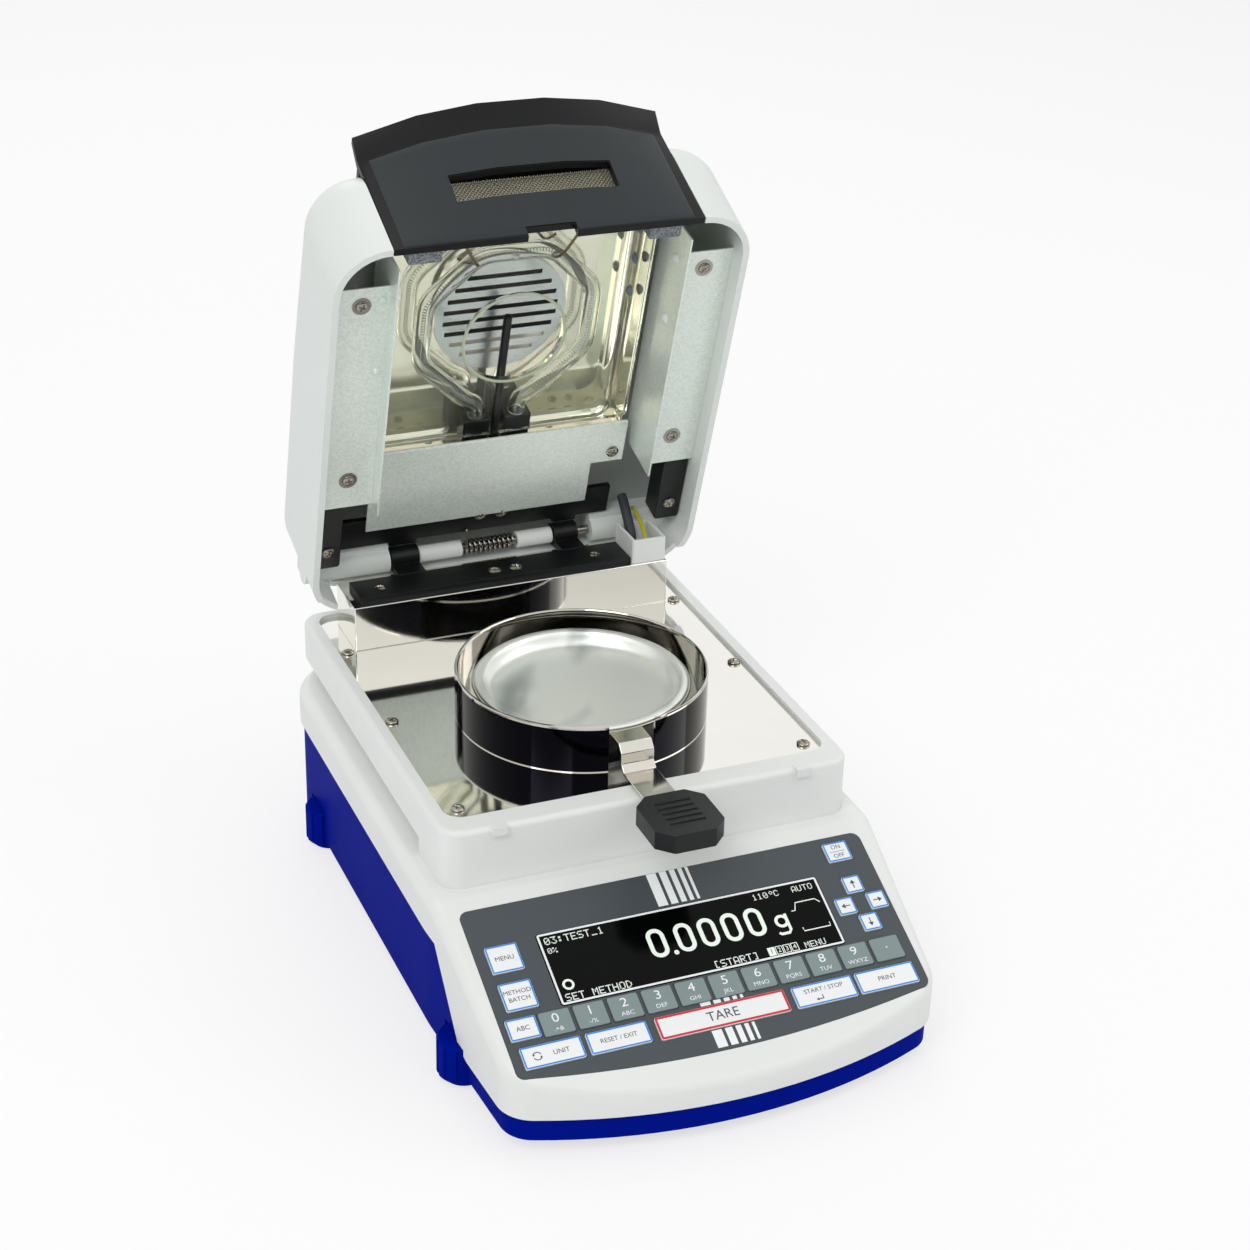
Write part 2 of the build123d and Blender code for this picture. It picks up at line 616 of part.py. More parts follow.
shield_bottom = PLATE_TOP_Z
shield_top = PLATE_TOP_Z + SHIELD_HEIGHT
shield = disc(SHIELD_R, shield_bottom, shield_top)
shield -= disc(SHIELD_R - SHIELD_WALL, shield_bottom - 1, shield_top + 1)
shield -= block(
    SHIELD_SLOT_LEFT, SHIELD_SLOT_RIGHT, PAN_Y - SHIELD_R - 3, PAN_Y - SHIELD_R + 12,
    shield_bottom - 1, shield_top + 1,
)
nodes["wind_shield"] = shield

ring_inner_r = PAN_FLOOR_R + 2.6
ring_outer_r = PAN_R + 1.0
strip_mid = (SHIELD_SLOT_LEFT + SHIELD_SLOT_RIGHT) / 2
x0 = strip_mid - LIFTER_HALF_WIDTH
x1 = strip_mid + LIFTER_HALF_WIDTH
strip_z = TRAY_TOP_Z + 0.6
shield_front_y = PAN_Y - SHIELD_R
bend_y = shield_front_y - 2.0
leg_y = bend_y - LIFTER_BEND
strip_end_y = GRIP_REAR_Y - 12
ring_sketch = Pos(0, PAN_Y, lifter_z) * Circle(ring_outer_r)
strip_start = PAN_Y - ring_outer_r + 2
ring_sketch += Pos(strip_mid, (strip_start + bend_y) / 2, lifter_z) * Rectangle(x1 - x0, strip_start - bend_y)
ring_sketch -= Pos(0, PAN_Y, lifter_z) * Circle(ring_inner_r)
ring = extrude(ring_sketch, LIFTER_SHEET)
mitre = LIFTER_SHEET / 2 * math.tan(math.radians(22.5))
leg_top_z = lifter_z + LIFTER_SHEET / 2 - LIFTER_BEND
leg_low_z = strip_z + LIFTER_SHEET / 2 + LIFTER_BEND
leg_front_y = leg_y - LIFTER_SHEET / 2
leg_rear_y = leg_y + LIFTER_SHEET / 2
leg_profile = [
    (bend_y + 1, lifter_z),
    (bend_y + mitre, lifter_z),
    (leg_rear_y, leg_top_z - mitre),
    (leg_rear_y, leg_low_z - mitre),
    (leg_y - LIFTER_BEND + mitre, strip_z),
    (strip_end_y, strip_z),
    (strip_end_y, strip_z + LIFTER_SHEET),
    (leg_y - LIFTER_BEND - mitre, strip_z + LIFTER_SHEET),
    (leg_front_y, leg_low_z + mitre),
    (leg_front_y, leg_top_z + mitre),
    (bend_y - mitre, lifter_z + LIFTER_SHEET),
    (bend_y + 1, lifter_z + LIFTER_SHEET),
]
leg_face = make_face(Plane.YZ * Polyline(*leg_profile, close=True))
strip = Pos(x0, 0, 0) * extrude(leg_face, x1 - x0, dir=(1, 0, 0))
nodes["pan_lifter"] = ring + strip

grip_bottom = strip_z - (GRIP_THICK - LIFTER_SHEET) / 2
grip_outline = make_face(Polyline(
    (strip_mid - GRIP_HALF_WIDTH + GRIP_CUT, GRIP_REAR_Y),
    (strip_mid + GRIP_HALF_WIDTH - GRIP_CUT, GRIP_REAR_Y),
    (strip_mid + GRIP_HALF_WIDTH, GRIP_REAR_Y - GRIP_CUT),
    (strip_mid + GRIP_HALF_WIDTH, GRIP_FRONT_Y + GRIP_CUT),
    (strip_mid + GRIP_HALF_WIDTH - GRIP_CUT, GRIP_FRONT_Y),
    (strip_mid - GRIP_HALF_WIDTH + GRIP_CUT, GRIP_FRONT_Y),
    (strip_mid - GRIP_HALF_WIDTH, GRIP_FRONT_Y + GRIP_CUT),
    (strip_mid - GRIP_HALF_WIDTH, GRIP_REAR_Y - GRIP_CUT),
    close=True,
))
grip = extrude(Pos(0, 0, grip_bottom) * grip_outline, GRIP_THICK)
grip = fillet(grip.edges().filter_by(Axis.Z), 1.5)
grip -= block(x0, x1, strip_end_y, GRIP_REAR_Y + 1, strip_z, strip_z + LIFTER_SHEET)
grip_top = grip_bottom + GRIP_THICK
for n in range(GRIP_GROOVES):
    groove_y = GRIP_REAR_Y - 8 - n * GRIP_GROOVE_PITCH
    grip -= block(
        strip_mid - 8, strip_mid + 8, groove_y - 0.8, groove_y + 0.8, grip_top - 0.6, grip_top + 1,
    )
nodes["lifter_grip"] = grip

# Electronics inside the base
board_top_z = MAIN_BOARD_Z + BOARD_THICK
nodes["main_board"] = block(*MAIN_BOARD, MAIN_BOARD_Z, board_top_z)
for x, y in CAPACITOR_SPOTS:
    nodes["main_board"] += disc(CAPACITOR_R, board_top_z, MAIN_BOARD_Z + CAPACITOR_HEIGHT, x, y)
for x in (MAIN_BOARD[0] + BOARD_POST_INSET, MAIN_BOARD[1] - BOARD_POST_INSET):
    for y in (MAIN_BOARD[2] + BOARD_POST_INSET, MAIN_BOARD[3] - BOARD_POST_INSET):
        nodes["base_tub"] += disc(BOARD_POST_R, BASE_BOTTOM_Z + 1, MAIN_BOARD_Z, x, y)
inlet = block(
    INLET_X - INLET_SIZE[0] / 2 + FIT, INLET_X + INLET_SIZE[0] / 2 - FIT,
    REAR_Y - BASE_INSET - INLET_SIZE[1], REAR_Y - BASE_INSET,
    INLET_Z - INLET_SIZE[2] / 2 + FIT, INLET_Z + INLET_SIZE[2] / 2 - FIT,
)
socket_x = INLET_X - INLET_SIZE[0] / 2 + 4
inlet -= block(
    socket_x, socket_x + INLET_SOCKET[0], REAR_Y - INLET_SOCKET[2], REAR_Y,
    INLET_Z - INLET_SOCKET[1] / 2, INLET_Z + INLET_SOCKET[1] / 2,
)
nodes["power_inlet"] = inlet


# Hood group, drawn closed
def hood_body(inset, low):
    """The hood's outer form: rounded plan, sloped nose and rounded shoulders."""
    r = HOOD_CORNER_R - inset
    high = HOOD_TOP_Z + 10
    sections = []
    for z in (low, high):
        front = HOOD_FRONT_Y + inset - HOOD_LEAN * (z - HOOD_RIM_Z) / (HOOD_TOP_Z - HOOD_RIM_Z)
        rear = HOOD_REAR_Y - inset
        spot = Pos(0, (front + rear) / 2, z)
        sections.append(spot * RectangleRounded(2 * (HOOD_HALF_WIDTH - inset), rear - front, r))
    upright = loft(sections, ruled=True)
    top = HOOD_TOP_Z - inset
    nose = HOOD_NOSE_Z - inset
    side = make_face(Polyline(
        (HOOD_REAR_Y + 5, low - 1),
        (HOOD_REAR_Y + 5, top),
        (HOOD_SLOPE_Y, top),
        (HOOD_FRONT_Y - HOOD_LEAN - 5, nose),
        (HOOD_FRONT_Y - HOOD_LEAN - 5, low - 1),
        close=True,
    ))
    bend = side.vertices().filter_by(lambda v: abs(v.X - HOOD_SLOPE_Y) < 1)
    side = Plane.YZ * fillet(bend, HOOD_BEND_R)
    form = upright & extrude(side, HOOD_HALF_WIDTH + 5, both=True)
    tops = form.faces().filter_by(lambda f: f.normal_at().Z > 0.9)
    rims = [e for f in tops for e in f.edges()]
    outer_rim = [e for e in rims if abs(e.center().X) > 1 or not (
        HOOD_FRONT_Y + 20 < e.center().Y < HOOD_REAR_Y - 20)]
    return fillet(outer_rim, HOOD_SHOULDER_R - inset)


hood = hood_body(0, HOOD_RIM_Z) - hood_body(HOOD_WALL, HOOD_RIM_Z - 1)
hood -= block(
    -VISOR_HALF_WIDTH - VISOR_GAP, VISOR_HALF_WIDTH + VISOR_GAP,
    HOOD_FRONT_Y - 30, HOOD_FRONT_Y + VISOR_SEAT, HOOD_RIM_Z - 1, HOOD_TOP_Z + 1,
)
hood -= block(
    -BOX_HALF_WIDTH - 3, BOX_HALF_WIDTH + 3, HOOD_REAR_Y - 20, HOOD_REAR_Y + 1,
    HOOD_RIM_Z - 1, HOOD_REAR_CUT_Z,
)
hood -= block(
    -HOOD_HALF_WIDTH - 1, HOOD_HALF_WIDTH + 1, HINGE_Y - 2, HOOD_REAR_Y + 1,
    HOOD_RIM_Z - 1, HOOD_RIM_Z + HOOD_REAR_RELIEF,
)
for side in (-1, 1):
    reach = HOOD_HALF_WIDTH - HOOD_WALL + 0.5
    ends = sorted((side * ARM_INNER_X, side * reach))
    arm = across(ARM_R, *ends)
    arm += block(*ends, HINGE_Y - ARM_BLOCK[0], HINGE_Y + ARM_BLOCK[1], HINGE_Z, HINGE_Z + ARM_BLOCK[2])
    hood += arm
hood -= across(ROD_R + RUN_CLEAR, -ROD_HALF_LENGTH - 1, ROD_HALF_LENGTH + 1)
nodes["hood"] = opened(hood)

sleeves = None
for x0, x1 in SLEEVE_SPANS:
    sleeve = across(SLEEVE_R, x0, x1) - across(ROD_R + RUN_CLEAR, x0 - 1, x1 + 1)
    sleeves = sleeve if sleeves is None else sleeves + sleeve
nodes["hinge_sleeves"] = opened(sleeves)

lid_bar_top = LID_BAR_Z + BAR_THICK
lid_bar = block(BAR_LEFT_X, BAR_RIGHT_X, LID_BAR_FRONT_Y, LID_BAR_REAR_Y, LID_BAR_Z, lid_bar_top)
for x0, x1 in SADDLE_SPANS:
    lid_bar += block(x0, x1, LID_BAR_REAR_Y - 1, LID_BAR_REAR_Y + 2.5, LID_BAR_Z, lid_bar_top + 1)
nodes["lid_bar"] = opened(lid_bar)


def bowed_band(y, z, bow, thick):
    """A closed five-sided band in plan, straight when bow is nought."""
    half = VISOR_HALF_WIDTH
    share = ((-1.0, 0.0), (-0.6, 0.7), (-0.22, 1.0), (0.22, 1.0), (0.6, 0.7), (1.0, 0.0))
    front = [(half * s, y - bow * b, z) for s, b in share]
    back = [(half * s, y - bow * b + thick, z) for s, b in reversed(share)]
    return Face(Wire.make_polygon([Vector(*p) for p in front + back], close=True))


visor_low_y = HOOD_FRONT_Y
visor_high_y = visor_low_y - VISOR_LEAN
visor = Solid.make_loft([
    bowed_band(visor_low_y, HOOD_RIM_Z, 0.0, VISOR_THICK).outer_wire(),
    bowed_band(visor_high_y, LIP_BOTTOM_Z, VISOR_BOW, VISOR_THICK).outer_wire(),
], ruled=True)
lip = Solid.make_loft([
    bowed_band(visor_high_y, LIP_BOTTOM_Z, VISOR_BOW, VISOR_THICK).outer_wire(),
    bowed_band(visor_high_y - LIP_REACH, LIP_TOP_Z, VISOR_BOW, VISOR_THICK).outer_wire(),
], ruled=True)
visor = Part() + visor + lip
visor += block(
    -VISOR_HALF_WIDTH, VISOR_HALF_WIDTH, visor_low_y - 4, HOOD_FRONT_Y + VISOR_SEAT - VISOR_GAP,
    HOOD_NOSE_Z - 4.5, HOOD_NOSE_Z - 1.5,
)
visor -= block(-WINDOW_HALF_WIDTH, WINDOW_HALF_WIDTH, -120, -40, WINDOW_BOTTOM_Z, WINDOW_TOP_Z)
visor -= block(-NOTCH_HALF_WIDTH, NOTCH_HALF_WIDTH, -120, -40, HOOD_RIM_Z - 1, HOOD_RIM_Z + NOTCH_HEIGHT)
nodes["front_visor"] = opened(visor)

chamber = slab(
    -CHAMBER_HALF_WIDTH, CHAMBER_HALF_WIDTH, CHAMBER_FRONT_Y, CHAMBER_REAR_Y,
    GLASS_Z + GLASS_THICK, CHAMBER_TOP_Z, CHAMBER_CORNER_R,
)
chamber = fillet(chamber.faces().sort_by(Axis.Z)[-1].edges(), CHAMBER_TOP_R)
chamber_inside = slab(
    -CHAMBER_HALF_WIDTH + SHEET, CHAMBER_HALF_WIDTH - SHEET,
    CHAMBER_FRONT_Y + SHEET, CHAMBER_REAR_Y - SHEET,
    GLASS_Z, CHAMBER_TOP_Z - SHEET, CHAMBER_CORNER_R - SHEET,
)
chamber -= fillet(chamber_inside.faces().sort_by(Axis.Z)[-1].edges(), CHAMBER_TOP_R - SHEET)
nodes["reflector"] = opened(chamber)

glass = slab(
    -CHAMBER_HALF_WIDTH, CHAMBER_HALF_WIDTH, CHAMBER_FRONT_Y, GLASS_REAR_Y,
    GLASS_Z, GLASS_Z + GLASS_THICK, 3.0,
)
glass -= disc(GLASS_HOLE_R, GLASS_Z - 1, GLASS_Z + 5)
nodes["chamber_glass"] = opened(glass)

side_plates = None
for side in (-1, 1):
    xs = sorted((side * SIDE_PLATE_X, side * (SIDE_PLATE_X + SHEET)))
    upright = block(*xs, SIDE_PLATE_FRONT_Y, SIDE_PLATE_REAR_Y, HOOD_RIM_Z + 1, SIDE_PLATE_TOP_Z)
    web_xs = sorted((side * SIDE_PLATE_X, side * (HOOD_HALF_WIDTH - HOOD_WALL)))
    web_front_y = HOOD_FRONT_Y + HOOD_CORNER_R + 1
    web = block(*web_xs, web_front_y, SIDE_PLATE_REAR_Y, SIDE_PLATE_WEB_Z, SIDE_PLATE_WEB_Z + SHEET)
    channel = upright + web
    side_plates = channel if side_plates is None else side_plates + channel
nodes["side_plates"] = opened(side_plates)

cover = block(-COVER_HALF_WIDTH, COVER_HALF_WIDTH, COVER_FRONT_Y, COVER_REAR_Y, COVER_Z, COVER_Z + SHEET)
cover += block(
    -CHAMBER_HALF_WIDTH + CHAMBER_CORNER_R, CHAMBER_HALF_WIDTH - CHAMBER_CORNER_R,
    CHAMBER_REAR_Y - SHEET, CHAMBER_REAR_Y, COVER_Z, GLASS_Z + GLASS_THICK,
)
cover -= block(COVER_NOTCH_X, 90, COVER_NOTCH_Y, 140, COVER_Z - 1, COVER_Z + 5)
nodes["rear_cover"] = opened(cover)

half_side = LAMP_R * math.tan(math.pi / 8)
corner = [
    (-LAMP_LEAD_X, LAMP_SOCKET_Y - SOCKET_SIZE[1] / 2),
    (-LAMP_LEAD_X, PAN_Y + LAMP_R + 4),
    (-half_side, PAN_Y + LAMP_R),
    (-LAMP_R, PAN_Y + half_side),
    (-LAMP_R, PAN_Y - half_side),
    (-half_side, PAN_Y - LAMP_R),
]
route = corner + [(-x, y) for x, y in reversed(corner)]
lamp_path = FilletPolyline(*[(x, y, LAMP_Z) for x, y in route], radius=3.0)
lamp_start = Plane(origin=lamp_path @ 0, z_dir=lamp_path % 0)
nodes["halogen_lamp"] = opened(sweep(lamp_start * Circle(LAMP_TUBE_R), path=lamp_path))

sockets = None
for side in (-1, 1):
    sx = side * LAMP_LEAD_X
    width, length, height = SOCKET_SIZE
    socket = block(
        sx - width / 2, sx + width / 2, LAMP_SOCKET_Y - length / 2, CHAMBER_REAR_Y - SHEET,
        LAMP_Z - height / 2, LAMP_Z + height / 2,
    )
    sockets = socket if sockets is None else sockets + socket
nodes["lamp_sockets"] = opened(sockets)

sensor = Pos(0, (SENSOR_TIP_Y + CHAMBER_REAR_Y - SHEET) / 2, SENSOR_Z) * Rot(90, 0, 0) * Cylinder(
    SENSOR_R, CHAMBER_REAR_Y - SHEET - SENSOR_TIP_Y
)
nodes["temperature_sensor"] = opened(fillet(sensor.edges().group_by(Axis.Y)[0], 1.2))

vent_top = CHAMBER_TOP_Z - SHEET
vent = disc(DISC_R, vent_top - DISC_THICK, vent_top)
for n in range(DISC_SLOTS):
    slot_offset = (n - (DISC_SLOTS - 1) / 2) * DISC_SLOT_PITCH
    reach = math.sqrt((DISC_R - DISC_RIM) ** 2 - slot_offset ** 2)
    vent -= block(
        -reach, reach, PAN_Y + slot_offset - DISC_SLOT_HALF, PAN_Y + slot_offset + DISC_SLOT_HALF,
        vent_top - DISC_THICK - 1, vent_top + 1,
    )
nodes["vent_disc"] = opened(vent)

# The whole is moved along Y until the origin is under its middle
spans = [solid.bounding_box() for solid in nodes.values()]
middle_y = (min(b.min.Y for b in spans) + max(b.max.Y for b in spans)) / 2
os.makedirs("parts", exist_ok=True)
for name, solid in nodes.items():
    export_step(Pos(0, -middle_y, 0) * solid, "parts/" + name + ".step")
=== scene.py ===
"""Dresses the moisture analyzer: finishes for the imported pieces, and the surfaces that give it its looks."""

import json
import math
from collections import namedtuple
from contextlib import contextmanager

import bmesh
import bpy
import numpy as np
from mathutils import Matrix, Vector
from bpy.props import FloatProperty, FloatVectorProperty, IntProperty, PointerProperty

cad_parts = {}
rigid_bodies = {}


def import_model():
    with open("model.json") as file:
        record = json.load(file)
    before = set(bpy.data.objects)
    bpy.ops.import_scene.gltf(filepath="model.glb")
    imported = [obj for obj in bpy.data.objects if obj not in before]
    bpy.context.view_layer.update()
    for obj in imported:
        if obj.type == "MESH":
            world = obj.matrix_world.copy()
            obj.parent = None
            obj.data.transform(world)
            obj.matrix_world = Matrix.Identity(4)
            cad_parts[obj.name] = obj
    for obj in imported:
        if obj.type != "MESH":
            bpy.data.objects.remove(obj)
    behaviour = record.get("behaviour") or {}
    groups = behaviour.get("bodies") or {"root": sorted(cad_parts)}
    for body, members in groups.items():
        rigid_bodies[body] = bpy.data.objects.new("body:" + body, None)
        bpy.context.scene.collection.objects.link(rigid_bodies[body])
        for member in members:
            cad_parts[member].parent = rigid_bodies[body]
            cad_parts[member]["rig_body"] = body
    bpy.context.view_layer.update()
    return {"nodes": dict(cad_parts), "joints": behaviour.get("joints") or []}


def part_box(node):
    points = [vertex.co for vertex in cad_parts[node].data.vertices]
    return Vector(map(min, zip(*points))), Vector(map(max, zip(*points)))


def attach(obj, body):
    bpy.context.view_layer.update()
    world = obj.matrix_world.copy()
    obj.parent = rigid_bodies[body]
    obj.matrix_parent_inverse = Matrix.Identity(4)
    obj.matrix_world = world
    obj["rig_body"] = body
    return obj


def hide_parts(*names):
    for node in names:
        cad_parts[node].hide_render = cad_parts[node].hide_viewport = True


bl_info = {
    "name": "Moisture Analyzer",
    "version": (1, 0, 0),
    "blender": (4, 5, 0),
    "location": "View3D > Sidebar > Analyzer",
    "description": "Builds the surfaces and finishes of a bench moisture analyzer round its packed model",
    "category": "Object",
}

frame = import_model()
MM = 0.001
JOINTS = {j["name"]: j for j in frame["joints"]}
HINGE = np.array(JOINTS["lid_hinge"]["pos_m"]) / MM
OPEN_ANGLE = math.radians(-JOINTS["lid_hinge"]["range_deg"][0])
DRAWN_HINGE_Y = 140.0
SHIFT_Y = HINGE[1] - DRAWN_HINGE_Y
PANEL_NORMAL = np.array(JOINTS["key_tare_press"]["axis"])
PANEL_ANGLE = math.atan2(-PANEL_NORMAL[1], PANEL_NORMAL[2])
SIDES = ((-1, "left"), (1, "right"))
DOWN = (0, 0, -1)
UP = (0, 0, 1)


# Placing
def box_mm(node):
    """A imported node's lowest and highest corners in millimetres."""
    low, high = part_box(node)
    return np.array(low) / MM, np.array(high) / MM


def opened(points):
    """Turns hood points, drawn closed, to open: a rotation about the hinge line by the opening angle."""
    p = np.asarray(points, float).copy()
    y = p[..., 1] - DRAWN_HINGE_Y
    z = p[..., 2] - HINGE[2]
    p[..., 1] = HINGE[1] + y * math.cos(OPEN_ANGLE) + z * math.sin(OPEN_ANGLE)
    p[..., 2] = HINGE[2] - y * math.sin(OPEN_ANGLE) + z * math.cos(OPEN_ANGLE)
    return p


def opened_direction(x, y, z):
    """A direction of the closed hood, turned as the hood opens."""
    ends = opened(np.array([[x, y, z], [0.0, 0.0, 0.0]]))
    return ends[0] - ends[1]


def slab_on_slope(node):
    """Centre, width, length and thickness of a slab on the console's slope, from its upright box."""
    low, high = box_mm(node)
    size = high - low
    c, s = math.cos(PANEL_ANGLE), math.sin(PANEL_ANGLE)
    length = (size[1] * c - size[2] * s) / (c * c - s * s)
    thick = (size[2] * c - size[1] * s) / (c * c - s * s)
    return (low + high) / 2, size[0], length, thick


def on_slope(centre, u, v, lift):
    """Points u across and v up the slope from a centre, raised by lift along the slope's normal."""
    along = np.array([0.0, math.cos(PANEL_ANGLE), math.sin(PANEL_ANGLE)])
    u, v = np.broadcast_arrays(np.asarray(u, float), np.asarray(v, float))
    across = np.array([1.0, 0.0, 0.0])
    return centre + u[..., None] * across + v[..., None] * along + lift * PANEL_NORMAL


# Making meshes
@contextmanager
def edited(mesh):
    """A mesh opened for editing, and written back afterwards."""
    work = bmesh.new()
    work.from_mesh(mesh)
    yield work
    work.to_mesh(mesh)
    work.free()


def in_scene(name, data):
    """A new object for some data, linked to the scene."""
    obj = bpy.data.objects.new(name, data)
    bpy.context.scene.collection.objects.link(obj)
    return obj


def make_object(name, vertices, faces, material, body, smooth=True):
    """Puts millimetre vertices and faces into a mesh in metres, with a finish, riding on a body."""
    mesh = bpy.data.meshes.new(name)
    mesh.from_pydata((np.asarray(vertices) * MM).tolist(), [], [tuple(f) for f in faces])
    mesh.validate()
    mesh.polygons.foreach_set("use_smooth", np.full(len(mesh.polygons), smooth))
    obj = in_scene(name, mesh)
    for m in material if isinstance(material, (list, tuple)) else [material]:
        mesh.materials.append(m)
    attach(obj, body)
    return obj


def grid_faces(rows, columns, close_columns=False):
    """Quads of a grid of rows by columns, with the last column joined to the first where it closes."""
    c = np.arange(columns if close_columns else columns - 1)
    r, c = np.meshgrid(np.arange(rows - 1), c, indexing="ij")
    r2, c2 = r + 1, (c + 1) % columns
    quads = np.stack([r * columns + c, r2 * columns + c, r2 * columns + c2, r * columns + c2], -1)
    return quads.reshape(-1, 4)


def lathe(name, profile, centre, material, body, segments, place=None):
    """Turns a profile of radius and height about an upright line: x = r cos t, y = r sin t, z = h."""
    profile = np.asarray(profile, float)
    t = np.linspace(0, 2 * math.pi, segments, endpoint=False)
    points = np.empty((len(profile), segments, 3))
    points[..., 0] = centre[0] + profile[:, :1] * np.cos(t)
    points[..., 1] = centre[1] + profile[:, :1] * np.sin(t)
    points[..., 2] = centre[2] + profile[:, 1:]
    if place is not None:
        points = place(points)
    faces = grid_faces(len(profile), segments, close_columns=True)
    obj = make_object(name, points.reshape(-1, 3), faces, material, body)
    merge(obj)
    return obj


def path_frames(path):
    """Tangent and two normals at each point of a path, each frame turned as little as it can be."""
    tangent = np.gradient(np.asarray(path, float), axis=0)
    tangent /= np.linalg.norm(tangent, axis=1, keepdims=True)
    first = np.cross(tangent[0], [0.0, 0.0, 1.0])
    if np.linalg.norm(first) < 0.1:
        first = np.cross(tangent[0], [1.0, 0.0, 0.0])
    normals = [first / np.linalg.norm(first)]
    for t in tangent[1:]:
        n = normals[-1] - t * np.dot(normals[-1], t)
        normals.append(n / np.linalg.norm(n))
    normal = np.array(normals)
    return tangent, normal, np.cross(tangent, normal)


def tube_points(path, radius, sides):
    """A round section carried along a path: p + radius (n cos a + b sin a)."""
    path = np.asarray(path, float)
    _, normal, binormal = path_frames(path)
    a = np.linspace(0, 2 * math.pi, sides, endpoint=False)
    radius = np.broadcast_to(np.asarray(radius, float), (len(path),))
    ring = normal[:, None] * np.cos(a)[None, :, None] + binormal[:, None] * np.sin(a)[None, :, None]
    return path[:, None] + radius[:, None, None] * ring


def tube(name, path, radius, material, body, sides, caps=True):
    """A round wire or tube along a path, closed by a face at each end unless left open."""
    points = tube_points(path, radius, sides)
    rows = len(points)
    faces = [tuple(f) for f in grid_faces(rows, sides, close_columns=True)]
    vertices = points.reshape(-1, 3)
    if caps:
        faces.append(tuple(range(sides)))
        faces.append(tuple(reversed(range((rows - 1) * sides, rows * sides))))
    obj = make_object(name, vertices, faces, material, body)
    recalculate(obj)
    return obj


def rounded_path(corners, radius, step):
    """Straight runs joined by arcs: each corner gives way to a quadratic curve between tangent points."""
    corners = np.asarray(corners, float)
    points = [corners[0]]
    for before, here, after in zip(corners[:-2], corners[1:-1], corners[2:]):
        a, b = before - here, after - here
        cut = min(radius, 0.45 * np.linalg.norm(a), 0.45 * np.linalg.norm(b))
        start = here + a / np.linalg.norm(a) * cut
        end = here + b / np.linalg.norm(b) * cut
        t = np.linspace(0, 1, 9)[:, None]
        points.extend((1 - t) ** 2 * start + 2 * t * (1 - t) * here + t * t * end)
    points.append(corners[-1])
    points = np.array(points)
    length = np.concatenate([[0], np.cumsum(np.linalg.norm(np.diff(points, axis=0), axis=1))])
    where = np.linspace(0, length[-1], max(int(length[-1] / step), 4))
    return np.stack([np.interp(where, length, points[:, k]) for k in range(3)], 1)


def hood_prism(name, outline, low, high, material, bevel=0.0):
    """A plan outline of the closed hood, carried upright between two heights and then turned open."""
    outline = np.asarray(outline, float)
    n = len(outline)
    points = np.concatenate([
        np.column_stack([outline, np.full(n, low)]),
        np.column_stack([outline, np.full(n, high)]),
    ])
    faces = [tuple(reversed(range(n))), tuple(range(n, 2 * n))]
    faces += [(k, (k + 1) % n, n + (k + 1) % n, n + k) for k in range(n)]
    obj = make_object(name, opened(points), faces, material, "lid", smooth=False)
    recalculate(obj)
    if bevel:
        soften(obj, bevel)
    return obj


def round_corners(x0, x1, y0, y1, r):
    """The outline of a rectangle with quarter-circle corners of six points each."""
    a = np.linspace(0, math.pi / 2, 6)
    corners = ((x1 - r, y1 - r, 0), (x0 + r, y1 - r, 1), (x0 + r, y0 + r, 2), (x1 - r, y0 + r, 3))
    return np.concatenate([
        np.column_stack([cx + r * np.cos(a + q * math.pi / 2), cy + r * np.sin(a + q * math.pi / 2)])
        for cx, cy, q in corners
    ])


# Vertices this near are one, in made meshes and in packed ones, both in metres
MERGE_M = 1e-6
WELD_M = 2e-6
# Edges that turn by more are rounded, and packed faces that turn by less become one
SHARP_DEGREES = 40
FLAT_DEGREES = 0.4


def merge(obj):
    """Joins vertices that share a place, then turns the faces outwards."""
    with edited(obj.data) as work:
        bmesh.ops.remove_doubles(work, verts=work.verts, dist=MERGE_M)
        bmesh.ops.recalc_face_normals(work, faces=work.faces)


def recalculate(obj):
    """Turns the faces outwards."""
    with edited(obj.data) as work:
        bmesh.ops.recalc_face_normals(work, faces=work.faces)


def shade(obj, degrees):
    """Smooth faces with sharp edges where they turn by more than an angle."""
    limit = math.radians(degrees)
    with edited(obj.data) as work:
        for e in work.edges:
            e.smooth = len(e.link_faces) == 2 and e.calc_face_angle(0) < limit
        for f in work.faces:
            f.smooth = True


def soften(obj, width):
    """A rounding of every sharp edge, by a bevel of that width in millimetres."""
    m = obj.modifiers.new("Edge rounding", "BEVEL")
    m.width = width * MM
    m.segments = 2
    m.limit_method = "ANGLE"
    m.angle_limit = math.radians(SHARP_DEGREES)
    m.harden_normals = False
    m.use_clamp_overlap = True


def dressed(node, material, bevel, degrees=35):
    """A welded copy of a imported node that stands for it, smooth where it curves, with softened edges."""
    source = frame["nodes"][node]
    copy = source.copy()
    copy.data = source.data.copy()
    copy.name = node + "_shell"
    for key in list(copy.keys()):
        del copy[key]
    copy.parent = None
    bpy.context.scene.collection.objects.link(copy)
    with edited(copy.data) as work:
        bmesh.ops.remove_doubles(work, verts=work.verts, dist=WELD_M)
        bmesh.ops.dissolve_limit(
            work, angle_limit=math.radians(FLAT_DEGREES), verts=work.verts, edges=work.edges,
        )
    shade(copy, degrees)
    copy.data.materials.clear()
    copy.data.materials.append(material)
    body = source["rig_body"]
    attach(copy, body)
    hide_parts(node)
    if bevel:
        soften(copy, bevel)
    return copy


def paint(node, material):
    """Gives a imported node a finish."""
    mesh = frame["nodes"][node].data
    mesh.materials.clear()
    mesh.materials.append(material)


